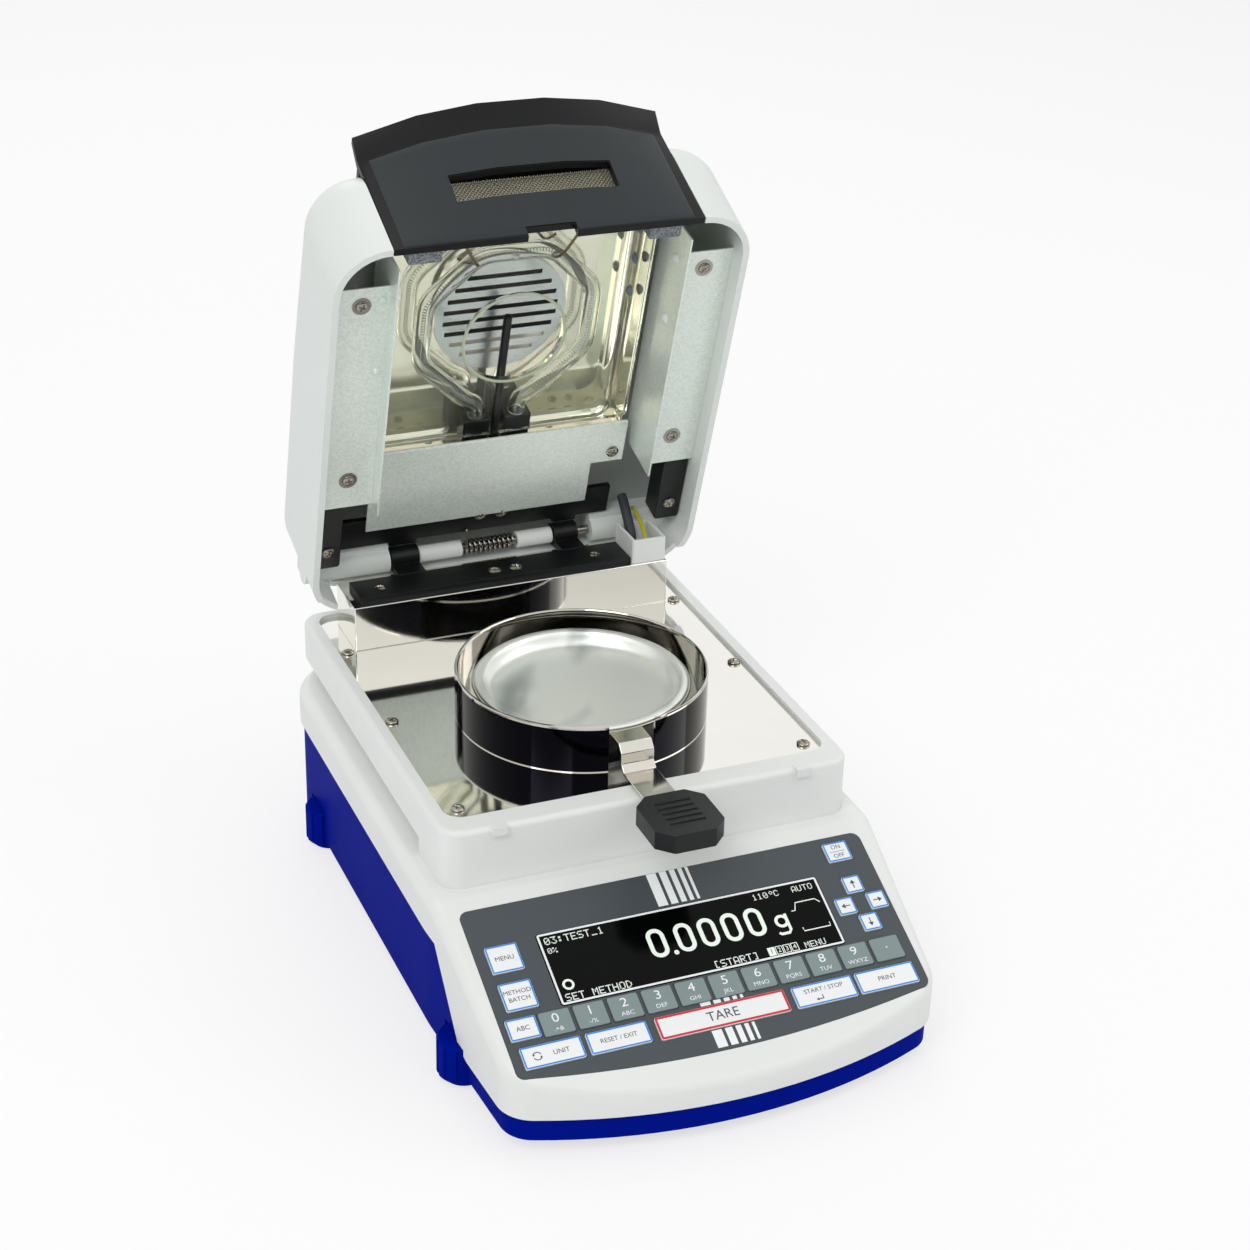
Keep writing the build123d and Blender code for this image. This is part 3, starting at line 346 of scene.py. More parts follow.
# Finishes
def colour(code):
    """An sRGB hex value as linear red, green, blue and alpha."""
    parts = [int(code[k:k + 2], 16) / 255 for k in (1, 3, 5)]
    linear = [c / 12.92 if c <= 0.04045 else ((c + 0.055) / 1.055) ** 2.4 for c in parts]
    return (*linear, 1.0)


def rgba(value):
    """A hex value or a setting's red, green and blue as a shader colour."""
    return colour(value) if isinstance(value, str) else (*value, 1.0)


def add(tree, kind, settings=None, **links):
    """Adds a shader node: settings are its own fields, links its input values or sockets."""
    n = tree.nodes.new(kind)
    for key, value in (settings or {}).items():
        setattr(n, key, value)
    for key, value in links.items():
        numbered = key[0] == "i" and key[1:].isdigit()
        socket = n.inputs[int(key[1:]) if numbered else key.replace("_", " ")]
        if isinstance(value, bpy.types.NodeSocket):
            tree.links.new(value, socket)
        else:
            socket.default_value = value
    return n


def new_finish(name):
    """An empty material with its shader, and object coordinates in millimetres."""
    material = bpy.data.materials.new(name)
    material.use_nodes = True
    tree = material.node_tree
    tree.nodes.clear()
    shader = add(tree, "ShaderNodeBsdfPrincipled")
    add(tree, "ShaderNodeOutputMaterial", Surface=shader.outputs[0])
    place = add(tree, "ShaderNodeTexCoord")
    return material, tree, shader, place.outputs["Object"]


def noise(tree, place, size_mm, detail, stretch=(1, 1, 1)):
    """A noise pattern whose blobs are about size_mm across."""
    scaled = add(tree, "ShaderNodeMapping", Vector=place, Scale=[s / (size_mm * MM) for s in stretch])
    return add(tree, "ShaderNodeTexNoise", Vector=scaled.outputs[0], Scale=1.0, Detail=detail)


def between(tree, factor, low, high):
    """Maps a pattern of 0 to 1 onto a range of numbers."""
    return add(tree, "ShaderNodeMapRange", Value=factor, To_Min=low, To_Max=high).outputs[0]


def mixed(tree, factor, first, second):
    """Blends two colours by a factor."""
    return add(tree, "ShaderNodeMix", {"data_type": "RGBA"}, i0=factor, i6=first, i7=second).outputs[2]


def smooth_step(tree, value, start, end, low=0.0, high=1.0):
    """Goes from low to high, with no corner, as a value passes from start to end."""
    return add(
        tree, "ShaderNodeMapRange", {"interpolation_type": "SMOOTHSTEP"},
        Value=value, From_Min=start, From_Max=end, To_Min=low, To_Max=high,
    ).outputs[0]


def relief(tree, height, depth_mm, strength=1.0):
    """A bump of that depth."""
    return add(
        tree, "ShaderNodeBump", Height=height, Distance=depth_mm * MM, Strength=strength
    ).outputs[0]


def feed(tree, shader, tone, roughness=None, normal=None, **values):
    """Links a finish's patterns to its shader and sets the shader's plain values."""
    for name, pattern in (("Base Color", tone), ("Roughness", roughness), ("Normal", normal)):
        if pattern is not None:
            tree.links.new(pattern, shader.inputs[name])
    for name, value in values.items():
        shader.inputs[name.replace("_", " ")].default_value = value


def moulded_plastic(name, code, shade_code, roughness, grain_mm=0.7, depth_mm=0.02, specular=0.45, ior=1.5):
    """Injection-moulded plastic: spark-eroded grain that breaks up the gloss, and a faint flow of tone."""
    material, tree, shader, place = new_finish(name)
    flow = noise(tree, place, 45, 2)
    grain = noise(tree, place, grain_mm, 2)
    tone = mixed(tree, flow.outputs[0], rgba(code), rgba(shade_code))
    gloss = between(tree, grain.outputs[0], roughness - 0.06, roughness + 0.08)
    bump = relief(tree, grain.outputs[0], depth_mm)
    feed(tree, shader, tone, gloss, bump, IOR=ior, Specular_IOR_Level=specular)
    return material


def bright_metal(
    name, code, shade_code, roughness, grain_mm, stretch=(1, 1, 1), depth_mm=0.004, spread=0.05, metallic=1.0
):
    """Sheet or turned metal: its polish or brushing is a fine stretched grain in roughness and relief."""
    material, tree, shader, place = new_finish(name)
    wide = noise(tree, place, 30, 2)
    fine = noise(tree, place, grain_mm, 3, stretch)
    tone = mixed(tree, wide.outputs[0], colour(code), colour(shade_code))
    gloss = between(tree, fine.outputs[0], max(roughness - spread, 0.01), roughness + spread)
    feed(tree, shader, tone, gloss, relief(tree, fine.outputs[0], depth_mm), Metallic=metallic)
    return material


def pressed_foil(name, code, shade_code):
    """Pressed aluminium: a soft rolled grain one way, with broad darker streaks of painted reflection across
    the sheet.
    """
    material, tree, shader, place = new_finish(name)
    turned = add(tree, "ShaderNodeMapping", Vector=place, Rotation=(0, 0, 0.5)).outputs[0]
    # Painted reflection: broad darker streaks stand in for the light and dark bands that brushed metal
    # reflects
    painted_reflection_streak = noise(tree, turned, 26, 2, (1, 0.35, 1))
    grain = noise(tree, turned, 0.5, 3, (8, 1, 1))
    share = smooth_step(tree, painted_reflection_streak.outputs[0], 0.5, 0.72)
    tone = mixed(tree, share, colour(code), colour(shade_code))
    gloss = between(tree, grain.outputs[0], 0.3, 0.42)
    feed(tree, shader, tone, gloss, relief(tree, grain.outputs[0], 0.004), Metallic=0.62)
    return material


def galvanised(name):
    """Hot-dip galvanised sheet: zinc spangle a few millimetres across, each crystal with its own tone."""
    material, tree, shader, place = new_finish(name)
    scaled = add(tree, "ShaderNodeMapping", Vector=place, Scale=[1 / (0.8 * MM)] * 3)
    cells = add(tree, "ShaderNodeTexVoronoi", Vector=scaled.outputs[0], Scale=1.0, Randomness=1.0)
    grey = add(tree, "ShaderNodeSeparateColor", Color=cells.outputs["Color"]).outputs[0]
    tone = mixed(tree, grey, colour("#d9e3db"), colour("#ecf3ed"))
    bump = relief(tree, cells.outputs["Distance"], 0.004, 0.3)
    feed(tree, shader, tone, between(tree, grey, 0.3, 0.38), bump, Metallic=0.38)
    return material


def clear_glass(name, code, ior, ripple_mm=0.0):
    """Drawn or tempered glass: clear, with a slight ripple that bends what is seen, and light passes it."""
    material, tree, shader, place = new_finish(name)
    wave = noise(tree, place, 9, 1)
    tone = mixed(tree, wave.outputs[0], colour(code), colour("#ffffff"))
    bump = relief(tree, wave.outputs[0], ripple_mm) if ripple_mm else None
    feed(tree, shader, tone, None, bump, Transmission_Weight=1.0, Roughness=0.0, IOR=ior)
    unlit = add(tree, "ShaderNodeLightPath").outputs["Is Shadow Ray"]
    passed = add(tree, "ShaderNodeBsdfTransparent", Color=colour(code))
    cover = add(tree, "ShaderNodeMixShader", i0=unlit, i1=shader.outputs[0], i2=passed.outputs[0])
    tree.links.new(cover.outputs[0], tree.nodes["Material Output"].inputs["Surface"])
    return material


def printed_ink(name, code, roughness=0.4, glow=0.0):
    """Screen-printed ink on polyester: an even film with a faint mottle."""
    material, tree, shader, place = new_finish(name)
    mottle = noise(tree, place, 1.2, 2)
    base = colour(code)
    pale = tuple(min(c * 1.08 + 0.004, 1.0) for c in base[:3]) + (1.0,)
    tone = mixed(tree, mottle.outputs[0], base, pale)
    feed(tree, shader, tone, between(tree, mottle.outputs[0], roughness - 0.05, roughness + 0.05))
    if glow:
        feed(tree, shader, None, Emission_Color=base, Emission_Strength=glow)
    return material


def speckled_foam(name):
    """Open-cell melamine foam: pale fibres over dark pores, with no gloss."""
    material, tree, shader, place = new_finish(name)
    pores = noise(tree, place, 0.8, 4)
    tone = mixed(tree, between(tree, pores.outputs[0], -0.6, 1.6), colour("#3b3f45"), colour("#a9adb2"))
    bump = relief(tree, pores.outputs[0], 0.25)
    feed(tree, shader, tone, None, bump, Roughness=0.95, Specular_IOR_Level=0.1)
    return material


F = {}


def darker(value):
    """A setting's colour, a little deeper."""
    return tuple(0.94 * c for c in value)


class MixFinishes(bpy.types.Operator):
    """Mixes every finish, each after its real material and how it was made"""

    bl_idname = "analyzer.mix_finishes"
    bl_label = "Mix the finishes"

    def execute(self, context):
        self.plastics(settings("analyzer_colours"))
        self.inks()
        self.metals()
        self.others()
        return {"FINISHED"}

    def plastics(self, c):
        """Moulded and printed plastics."""
        # Spark-eroded moulds leave a fine grain, so the whites read as satin with soft highlights
        F["white"] = moulded_plastic("moulded_white_abs", c.housing, darker(c.housing), 0.42)
        F["hood_white"] = moulded_plastic("moulded_white_polycarbonate", c.hood, darker(c.hood), 0.4)
        # A deep pigment with hardly any sheen at a slant, so the blue stays saturated over the white floor
        F["blue"] = moulded_plastic(
            "moulded_blue_abs", c.base, darker(c.base), 0.45, depth_mm=0.03, specular=0.3, ior=1.07
        )
        # Glass-filled nylon: nearly black, with only its edges catching light
        F["black"] = moulded_plastic("moulded_black_nylon", "#0a0b0d", "#101214", 0.36, specular=0.35)
        # The visor's face is a grey textured panel inside a smoother black rim
        F["visor"] = moulded_plastic(
            "satin_grey_polycarbonate_face", "#1b2224", "#20272a", 0.42, 0.5, 0.02, 0.35,
        )
        F["visor_black"] = moulded_plastic(
            "glossy_black_polycarbonate", "#040506", "#070809", 0.32, 0.5, 0.01, 0.25,
        )
        # Polyester foil over the console and its keys: embossed grain keeps the reflections soft and even
        F["foil"] = moulded_plastic(
            "embossed_grey_polyester", c.console, darker(c.console), 0.42, 0.35, 0.01, 0.4,
        )
        F["key_white"] = moulded_plastic("embossed_white_polyester", "#eef0f0", "#eaeced", 0.4, 0.35, 0.008)
        F["key_grey"] = moulded_plastic(
            "embossed_grey_green_polyester", "#7b8c8b", "#808f8f", 0.42, 0.35, 0.008,
        )
        # A polished acrylic cover over an unlit panel: black, with one soft reflection
        F["lcd"] = moulded_plastic("acrylic_display_cover", "#020303", "#030404", 0.12, 2.0, 0.001, 0.1)
        # Solder mask over glass cloth, rubber sleeve and wire insulation, each dull beside the housings
        F["board"] = moulded_plastic("epoxy_circuit_board", "#1d5a3a", "#206140", 0.35, 0.6, 0.01)
        F["rubber"] = moulded_plastic("grey_silicone_sleeve", "#30343a", "#383c42", 0.6, 0.5, 0.02)
        F["wire_yellow"] = moulded_plastic("yellow_wire_insulation", "#c7c21d", "#bdb81a", 0.4, 0.5, 0.01)
        F["bumper"] = moulded_plastic("blue_grey_silicone_bumper", "#6f7c86", "#7c8992", 0.55, 0.5, 0.02)

    def inks(self):
        """Screen prints: flat, even colour with crisp edges."""
        F["ink_blue"] = printed_ink("screen_printed_blue_ink", "#1784d8")
        F["ink_red"] = printed_ink("screen_printed_red_ink", "#c81f35")
        F["ink_white"] = printed_ink("screen_printed_white_ink", "#e9ecec")
        F["ink_dark"] = printed_ink("screen_printed_dark_ink", "#3a4147")
        # No light gets into the duct behind the slots, so dull, nearly black strips of painted shade stand
        # there
        F["duct"] = printed_ink("painted_shade_behind_slots", "#020202", 0.8)
        # The display's marks give off a little light, so they stay pale on black from every side
        F["segment"] = printed_ink("lit_display_segment", "#cfd8cf", 0.3, 0.35)
        # A ground glass edge scatters light: a pale green band round the hole
        F["frosted"] = printed_ink("ground_glass_edge", "#bcc6ac", 0.7)

    def metals(self):
        """Bare, plated and polished metals."""
        # Polished sheet mirrors the ring and the hood with hardly any blur
        F["mirror"] = bright_metal(
            "mirror_polished_stainless", "#f3f2ec", "#eceae3", 0.05, 0.6, spread=0.02, depth_mm=0.0006
        )
        # The pressed reflector is warmer, and slightly wavy where it was drawn
        F["reflector"] = bright_metal(
            "polished_stainless_reflector", "#f8f2e4", "#f1ead8", 0.07, 0.6, spread=0.02, depth_mm=0.002,
            metallic=0.84
        )
        # Spinning leaves fine rings in the shield, bright inside and black nickel outside
        F["shield"] = bright_metal("spun_stainless", "#cfccc6", "#c6c3bd", 0.06, 0.4, (1, 1, 8), 0.001, 0.03)
        F["shield_dark"] = bright_metal(
            "black_nickel_plating", "#0b0b0f", "#0f0f15", 0.07, 0.4, (1, 1, 8), 0.001, 0.03,
        )
        # Rolled spring steel with a nickel flash: brushed lines across the bends
        F["bent"] = bright_metal("bent_nickelled_spring_steel", "#e2dfd6", "#d6d2c8", 0.12, 0.5, (1, 5, 1))
        # The darker second colour is painted reflection, for the brushed pan's dark bands
        F["pan"] = pressed_foil("pressed_aluminium_foil", "#f3f5f0", "#a4a9a8")
        # Turned and drawn steel: small bright highlights on grey
        F["steel"] = bright_metal("drawn_steel", "#a8a59d", "#8f8c84", 0.24, 0.5)
        F["screw"] = bright_metal("nickelled_screw_steel", "#b3afa4", "#8e8a80", 0.22, 0.4)
        # Wire that has been hot: brown oxide over bronze
        F["bronze"] = bright_metal("oxidised_bronze_wire", "#8f7a4c", "#6e5c37", 0.35, 0.6)
        # Brushed one way, so the disc shows streaks of light along its slots
        F["disc"] = bright_metal(
            "brushed_steel_disc", "#dde1e2", "#bfc3c5", 0.25, 0.5, (1, 9, 9), 0.01, metallic=0.85,
        )
        F["milled"] = bright_metal("milled_aluminium", "#c3c5c6", "#b4b6b8", 0.32, 0.5, (1, 8, 1), 0.01)
        F["mesh"] = bright_metal("woven_stainless_wire", "#b4b09c", "#a29e8a", 0.3, 0.3)
        F["galvanised"] = galvanised("galvanised_sheet")

    def others(self):
        """Glass and foam."""
        # A flat plate lets rays leave as they came, so a low index stands for both faces and a faint sheen
        F["glass"] = clear_glass("tempered_chamber_glass", "#eef6ee", 1.16)
        # Drawn quartz bends what is behind it, which outlines the tube in light and dark
        F["quartz"] = clear_glass("drawn_quartz_tube", "#f7f9f7", 1.46, 0.12)
        # Open pores swallow light, so the pads look dull and speckled
        F["foam"] = speckled_foam("melamine_foam")


# Sizes and colours a user would change
def metres(name, description, default):
    """A setting in metres."""
    return FloatProperty(name=name, description=description, default=default, unit="LENGTH")


def tint(name, description, code):
    """A setting that is a colour."""
    return FloatVectorProperty(
        name=name, description=description, subtype="COLOR", min=0, max=1, default=colour(code)[:3],
    )


class StageSettings(bpy.types.PropertyGroup):
    floor_size: metres("Floor size", "Width of the floor", 12.0)
    lens: FloatProperty(name="Lens", description="Focal length on a 36 mm sensor", default=71.58)
    camera_place: FloatVectorProperty(
        name="Camera place", description="Where the camera stands",
        default=(-0.36426, SHIFT_Y * MM - 0.87768, 0.63563),
        subtype="TRANSLATION",
    )


class ColourSettings(bpy.types.PropertyGroup):
    housing: tint("Housing", "Plastic of the top housing and the tray", "#e6e8e6")
    hood: tint("Hood", "Plastic of the hood", "#dfe4e1")
    base: tint("Base", "Plastic of the base tub and the feet", "#00158a")
    console: tint("Console", "Foil over the console", "#434a4e")


class ConsoleSettings(bpy.types.PropertyGroup):
    border: metres("Key border", "Width of a key's printed border", 0.65 * MM)
    ink: metres("Ink", "Height of print over its surface", 0.04 * MM)


class HoodSettings(bpy.types.PropertyGroup):
    washer: metres("Washer", "Radius of the side screws' washers", 4.2 * MM)
    pad_depth: metres("Pad depth", "How thick the foam pads are", 9.0 * MM)
    mesh_pitch: metres("Mesh pitch", "Distance between the vent mesh's wires", 0.95 * MM)


class HingeSettings(bpy.types.PropertyGroup):
    turns: IntProperty(name="Turns", description="Turns of the hood spring", default=10)
    wire: metres("Wire", "Radius of the spring's wire", 0.6 * MM)


class HeaterSettings(bpy.types.PropertyGroup):
    tube_radius: metres("Lamp tube", "Radius of the quartz tube", 4.2 * MM)
    filament_turns: IntProperty(
        name="Filament turns", description="Turns of the lamp's filament", default=150,
    )


def settings(name):
    """One of the scene's setting groups."""
    return getattr(bpy.context.scene, name)


# Stage
# The solved camera's two directions, and how much of the floor the camera sees as plain white
CAMERA_BACK = (-0.35067, -0.81736, 0.45712)
CAMERA_UP = (0.15362, 0.43130, 0.88903)
FLOOR_LIFT = 0.68
WHITE = (1, 1, 1, 1)
LAMPS = (
    ("key_light", (-1.1, -1.0, 1.7), (0, 0, 0.15), 1.3, 17),
    ("fill_light", (1.5, -0.6, 1.2), (0, 0, 0.15), 1.2, 7),
    ("rear_light", (0.2, 1.5, 1.6), (0, 0, 0.2), 1.2, 8),
)


def standing(place, back, up=UP):
    """The matrix of a camera or a lamp at a place: it looks away from back, with up above it."""
    back = np.array(back, float) / np.linalg.norm(back)
    right = np.cross(up, back)
    right /= np.linalg.norm(right)
    turn = np.eye(4)
    turn[:3, 0], turn[:3, 1], turn[:3, 2], turn[:3, 3] = right, np.cross(back, right), back, place
    return Matrix(turn.tolist())


class AddStage(bpy.types.Operator):
    """Sets the camera, the soft studio light and the pale floor"""

    bl_idname = "analyzer.add_stage"
    bl_label = "Add the stage"

    def execute(self, context):
        s = settings("analyzer_stage")
        scene = context.scene
        scene.view_settings.view_transform = "Standard"
        camera = in_scene("camera", bpy.data.cameras.new("camera"))
        camera.data.lens = s.lens
        camera.data.sensor_width = 36.0
        camera.matrix_world = standing(s.camera_place, CAMERA_BACK, CAMERA_UP)
        scene.camera = camera
        self.add_world(scene)
        self.add_floor(s.floor_size)
        for lamp in LAMPS:
            self.add_lamp(*lamp)
        return {"FINISHED"}

    def add_world(self, scene):
        """White to the camera and through glass; in reflections, white above with a dark front low down."""
        world = bpy.data.worlds.new("studio")
        world.use_nodes = True
        tree = world.node_tree
        tree.nodes.clear()
        direction = add(tree, "ShaderNodeTexCoord").outputs["Generated"]
        parts = add(tree, "ShaderNodeSeparateXYZ", Vector=direction)
        front = smooth_step(tree, parts.outputs["Y"], -0.35, 0.1, 1.0, 0.0)
        low = smooth_step(tree, parts.outputs["Z"], 0.3, 0.5, 1.0, 0.0)
        dark = add(tree, "ShaderNodeMath", {"operation": "MULTIPLY"}, i0=front, i1=low).outputs[0]
        seen = mixed(tree, dark, WHITE, (0.02, 0.02, 0.025, 1))
        path = add(tree, "ShaderNodeLightPath")
        glossy = path.outputs["Is Glossy Ray"]
        plain = add(tree, "ShaderNodeBackground", Color=WHITE, Strength=0.62)
        mirrored = add(tree, "ShaderNodeBackground", Color=seen, Strength=1.0)
        white = add(tree, "ShaderNodeBackground", Color=WHITE, Strength=1.0)
        first = add(tree, "ShaderNodeMixShader", i0=glossy, i1=plain.outputs[0], i2=mirrored.outputs[0])
        through = add(
            tree, "ShaderNodeMath", {"operation": "MAXIMUM"},
            i0=path.outputs["Is Camera Ray"], i1=path.outputs["Is Transmission Ray"],
        ).outputs[0]
        last = add(tree, "ShaderNodeMixShader", i0=through, i1=first.outputs[0], i2=white.outputs[0])
        add(tree, "ShaderNodeOutputWorld", Surface=last.outputs[0])
        scene.world = world

    def add_floor(self, size):
        """A plain sheet whose own white is lifted for the camera, so that only the shadow shows."""
        material = bpy.data.materials.new("pale_floor")
        material.use_nodes = True
        tree = material.node_tree
        tree.nodes.clear()
        paper = add(tree, "ShaderNodeBsdfDiffuse", Color=(0.9, 0.9, 0.9, 1))
        lifted = add(tree, "ShaderNodeEmission", Color=WHITE, Strength=1.0)
        path = add(tree, "ShaderNodeLightPath")
        seen = path.outputs["Is Camera Ray"]
        share = add(tree, "ShaderNodeMath", {"operation": "MULTIPLY"}, i0=seen, i1=FLOOR_LIFT).outputs[0]
        cover = add(tree, "ShaderNodeMixShader", i0=share, i1=paper.outputs[0], i2=lifted.outputs[0])
        add(tree, "ShaderNodeOutputMaterial", Surface=cover.outputs[0])
        half = size / 2
        mesh = bpy.data.meshes.new("floor")
        mesh.from_pydata(
            [(-half, -half, 0), (half, -half, 0), (half, half, 0), (-half, half, 0)], [], [(0, 1, 2, 3)],
        )
        mesh.materials.append(material)
        in_scene("floor", mesh)

    def add_lamp(self, name, place, target, size, power):
        """A square soft box that faces a point."""
        data = bpy.data.lights.new(name, "AREA")
        data.shape = "SQUARE"
        data.size = size
        data.energy = power
        in_scene(name, data).matrix_world = standing(place, np.subtract(place, target))


# Housings
class DressHousings(bpy.types.Operator):
    """Finishes the base, the top housing, the tray and the feet"""

    bl_idname = "analyzer.dress_housings"
    bl_label = "Dress the housings"

    def execute(self, context):
        dressed("top_housing", F["white"], 0.35)
        dressed("base_tub", F["blue"], 0.4)
        dressed("chamber_tray", F["white"], 0.5)
        for node in frame["nodes"]:
            if node.startswith("foot_"):
                dressed(node, F["blue"], 0.35)
        for node, finish in (
            ("keypad_board", "board"), ("main_board", "board"), ("load_cell", "milled"),
            ("pan_support", "milled"), ("power_inlet", "black"),
        ):
            paint(node, F[finish])
        return {"FINISHED"}


# Console
# A capital's height as a share of its letter size, and how far a key stands over the foil in millimetres
CAPITAL_SHARE = 0.7
KEY_PROUD = 0.7
# Where print lies: a centre on the slope, the body it rides on, and its height over that centre
Sheet = namedtuple("Sheet", "centre body lift")


def printed(name, u, v, faces, material, sheet):
    """A flat piece of print from its points across and up the slope."""
    points = on_slope(sheet.centre, u, v, sheet.lift).reshape(-1, 3)
    return make_object(name, points, faces, material, sheet.body, smooth=False)


def flat_text(name, words, height, at, material, sheet, squeeze=1.0):
    """Lettering on the slope, its capitals that high, centred at u and v from the sheet's centre."""
    curve = bpy.data.curves.new(name, "FONT")
    curve.body = words
    curve.align_x = "CENTER"
    curve.align_y = "CENTER"
    curve.size = 1.0
    curve.resolution_u = 3
    maker = in_scene(name + "_maker", curve)
    bpy.context.view_layer.update()
    graph = bpy.context.evaluated_depsgraph_get()
    mesh = bpy.data.meshes.new_from_object(maker.evaluated_get(graph))
    flat = np.empty(len(mesh.vertices) * 3)
    mesh.vertices.foreach_get("co", flat)
    flat = flat.reshape(-1, 3)
    faces = [tuple(p.vertices) for p in mesh.polygons]
    bpy.data.objects.remove(maker)
    bpy.data.meshes.remove(mesh)
    scale = height / CAPITAL_SHARE
    u, v = at[0] + flat[:, 0] * scale * squeeze, at[1] + flat[:, 1] * scale
    return printed(name, u, v, faces, material, sheet)


def flat_ring(name, outer, inner, at, material, sheet):
    """A printed band between two outlines of as many points."""
    ring = np.stack([outer, inner], 0)
    faces = [tuple(reversed(f)) for f in grid_faces(2, len(outer), close_columns=True)]
    return printed(name, at[0] + ring[..., 0], at[1] + ring[..., 1], faces, material, sheet)


def flat_frame(name, half_u, half_v, r, width, at, material, sheet):
    """A printed border on the slope: a rounded rectangle's outline and the same pulled in by its width."""
    outer = round_corners(-half_u, half_u, -half_v, half_v, r)
    inner = round_corners(
        -half_u + width, half_u - width, -half_v + width, half_v - width, max(r - width, 0.05),
    )
    return flat_ring(name, outer, inner, at, material, sheet)


def flat_patch(name, corners, material, sheet):
    """A printed patch on the slope with straight edges between its corners of u and v."""
    corners = np.asarray(corners, float)
    return printed(name, corners[:, 0], corners[:, 1], [tuple(range(len(corners)))], material, sheet)


def flat_line(name, corners, width, material, sheet):
    """A printed line: each corner moved half the width to each side, along its runs' mean normal."""
    c = np.asarray(corners, float)
    run = np.gradient(c, axis=0)
    run /= np.linalg.norm(run, axis=1, keepdims=True)
    side = np.column_stack([-run[:, 1], run[:, 0]]) * width / 2
    ring = np.stack([c + side, c - side], 0)
    return printed(name, ring[..., 0], ring[..., 1], grid_faces(2, len(c)), material, sheet)


# Display glyphs, five columns of seven dots each, the lowest bit at the top
GLYPHS = {
    "0": "3E5149453E", "1": "00427F4000", "2": "4261514946", "3": "2141454B31", "4": "1814127F10",
    "%": "2313086462", ":": "0036360000", "_": "4040404040", "T": "01017F0101", "E": "7F49494941",
    "S": "4649494931", "M": "7F020C027F", "H": "7F0808087F", "O": "3E4141413E", "D": "7F4141221C",
    "[": "007F414100", "]": "0041417F00", "A": "7E1111117E", "R": "7F09192946", "U": "3F4040403F",
    "N": "7F0408107F", "*": "0006090906", "C": "3E41414122", " ": "0000000000",
}


def dot_words(name, words, height, at, material, sheet):
    """Dot-matrix lettering that starts at u and v: one small square for each lit dot of each glyph."""
    pitch = height / 7
    columns = np.array([
        int(GLYPHS[letter][2 * k:2 * k + 2], 16) if k < 5 else 0 for letter in words for k in range(6)
    ])
    lit = (columns[:, None] >> np.arange(7)) & 1
    across, down = np.nonzero(lit)
    square = np.array([(0.04, 0.04), (0.96, 0.04), (0.96, 0.96), (0.04, 0.96)])
    u = at[0] + (across[:, None] + square[:, 0]) * pitch
    v = at[1] + (6 - down[:, None] + square[:, 1]) * pitch
    return printed(name, u, v, np.arange(u.size).reshape(-1, 4), material, sheet)


LABELS = {
    "menu": [("MENU", 2.1, 0, 0)],
    "method": [("METHOD", 2.0, 0, 1.7), ("BATCH", 2.0, 0, -1.7)],
    "abc": [("ABC", 2.1, 0, 0)],
    "unit": [("UNIT", 2.1, 3.6, 0)],
    "reset": [("RESET / EXIT", 2.0, 0, 0)],
    "tare": [("TARE", 4.2, 0, 0)],
    "start": [("START / STOP", 2.0, 0, 1.6)],
    "print": [("PRINT", 2.1, 0, 0)],
    "on_off": [("ON", 2.0, 0, 2.2), ("OFF", 2.0, 0, -2.2)],
}
SMALL_LABELS = {
    "0": ".+&", "1": "-/%", "2": "ABC", "3": "DEF", "4": "GHI",
    "5": "JKL", "6": "MNO", "7": "PQRS", "8": "TUV", "9": "WXYZ",
}
ARROWS = {"up": 0, "left": 90, "down": 180, "right": 270}
DRAWN_SIGNS = {
    "on_off": ("bar", [(-3.5, -0.1), (3.5, -0.1), (3.5, 0.1), (-3.5, 0.1)]),
    "start": ("hook", [
        (-1.4, -1.0), (-1.8, -1.0), (-1.8, -2.5), (-3.6, -2.5), (-3.6, -2.0), (-4.8, -2.7),
        (-3.6, -3.4), (-3.6, -2.9), (-1.4, -2.9),
    ]),
}


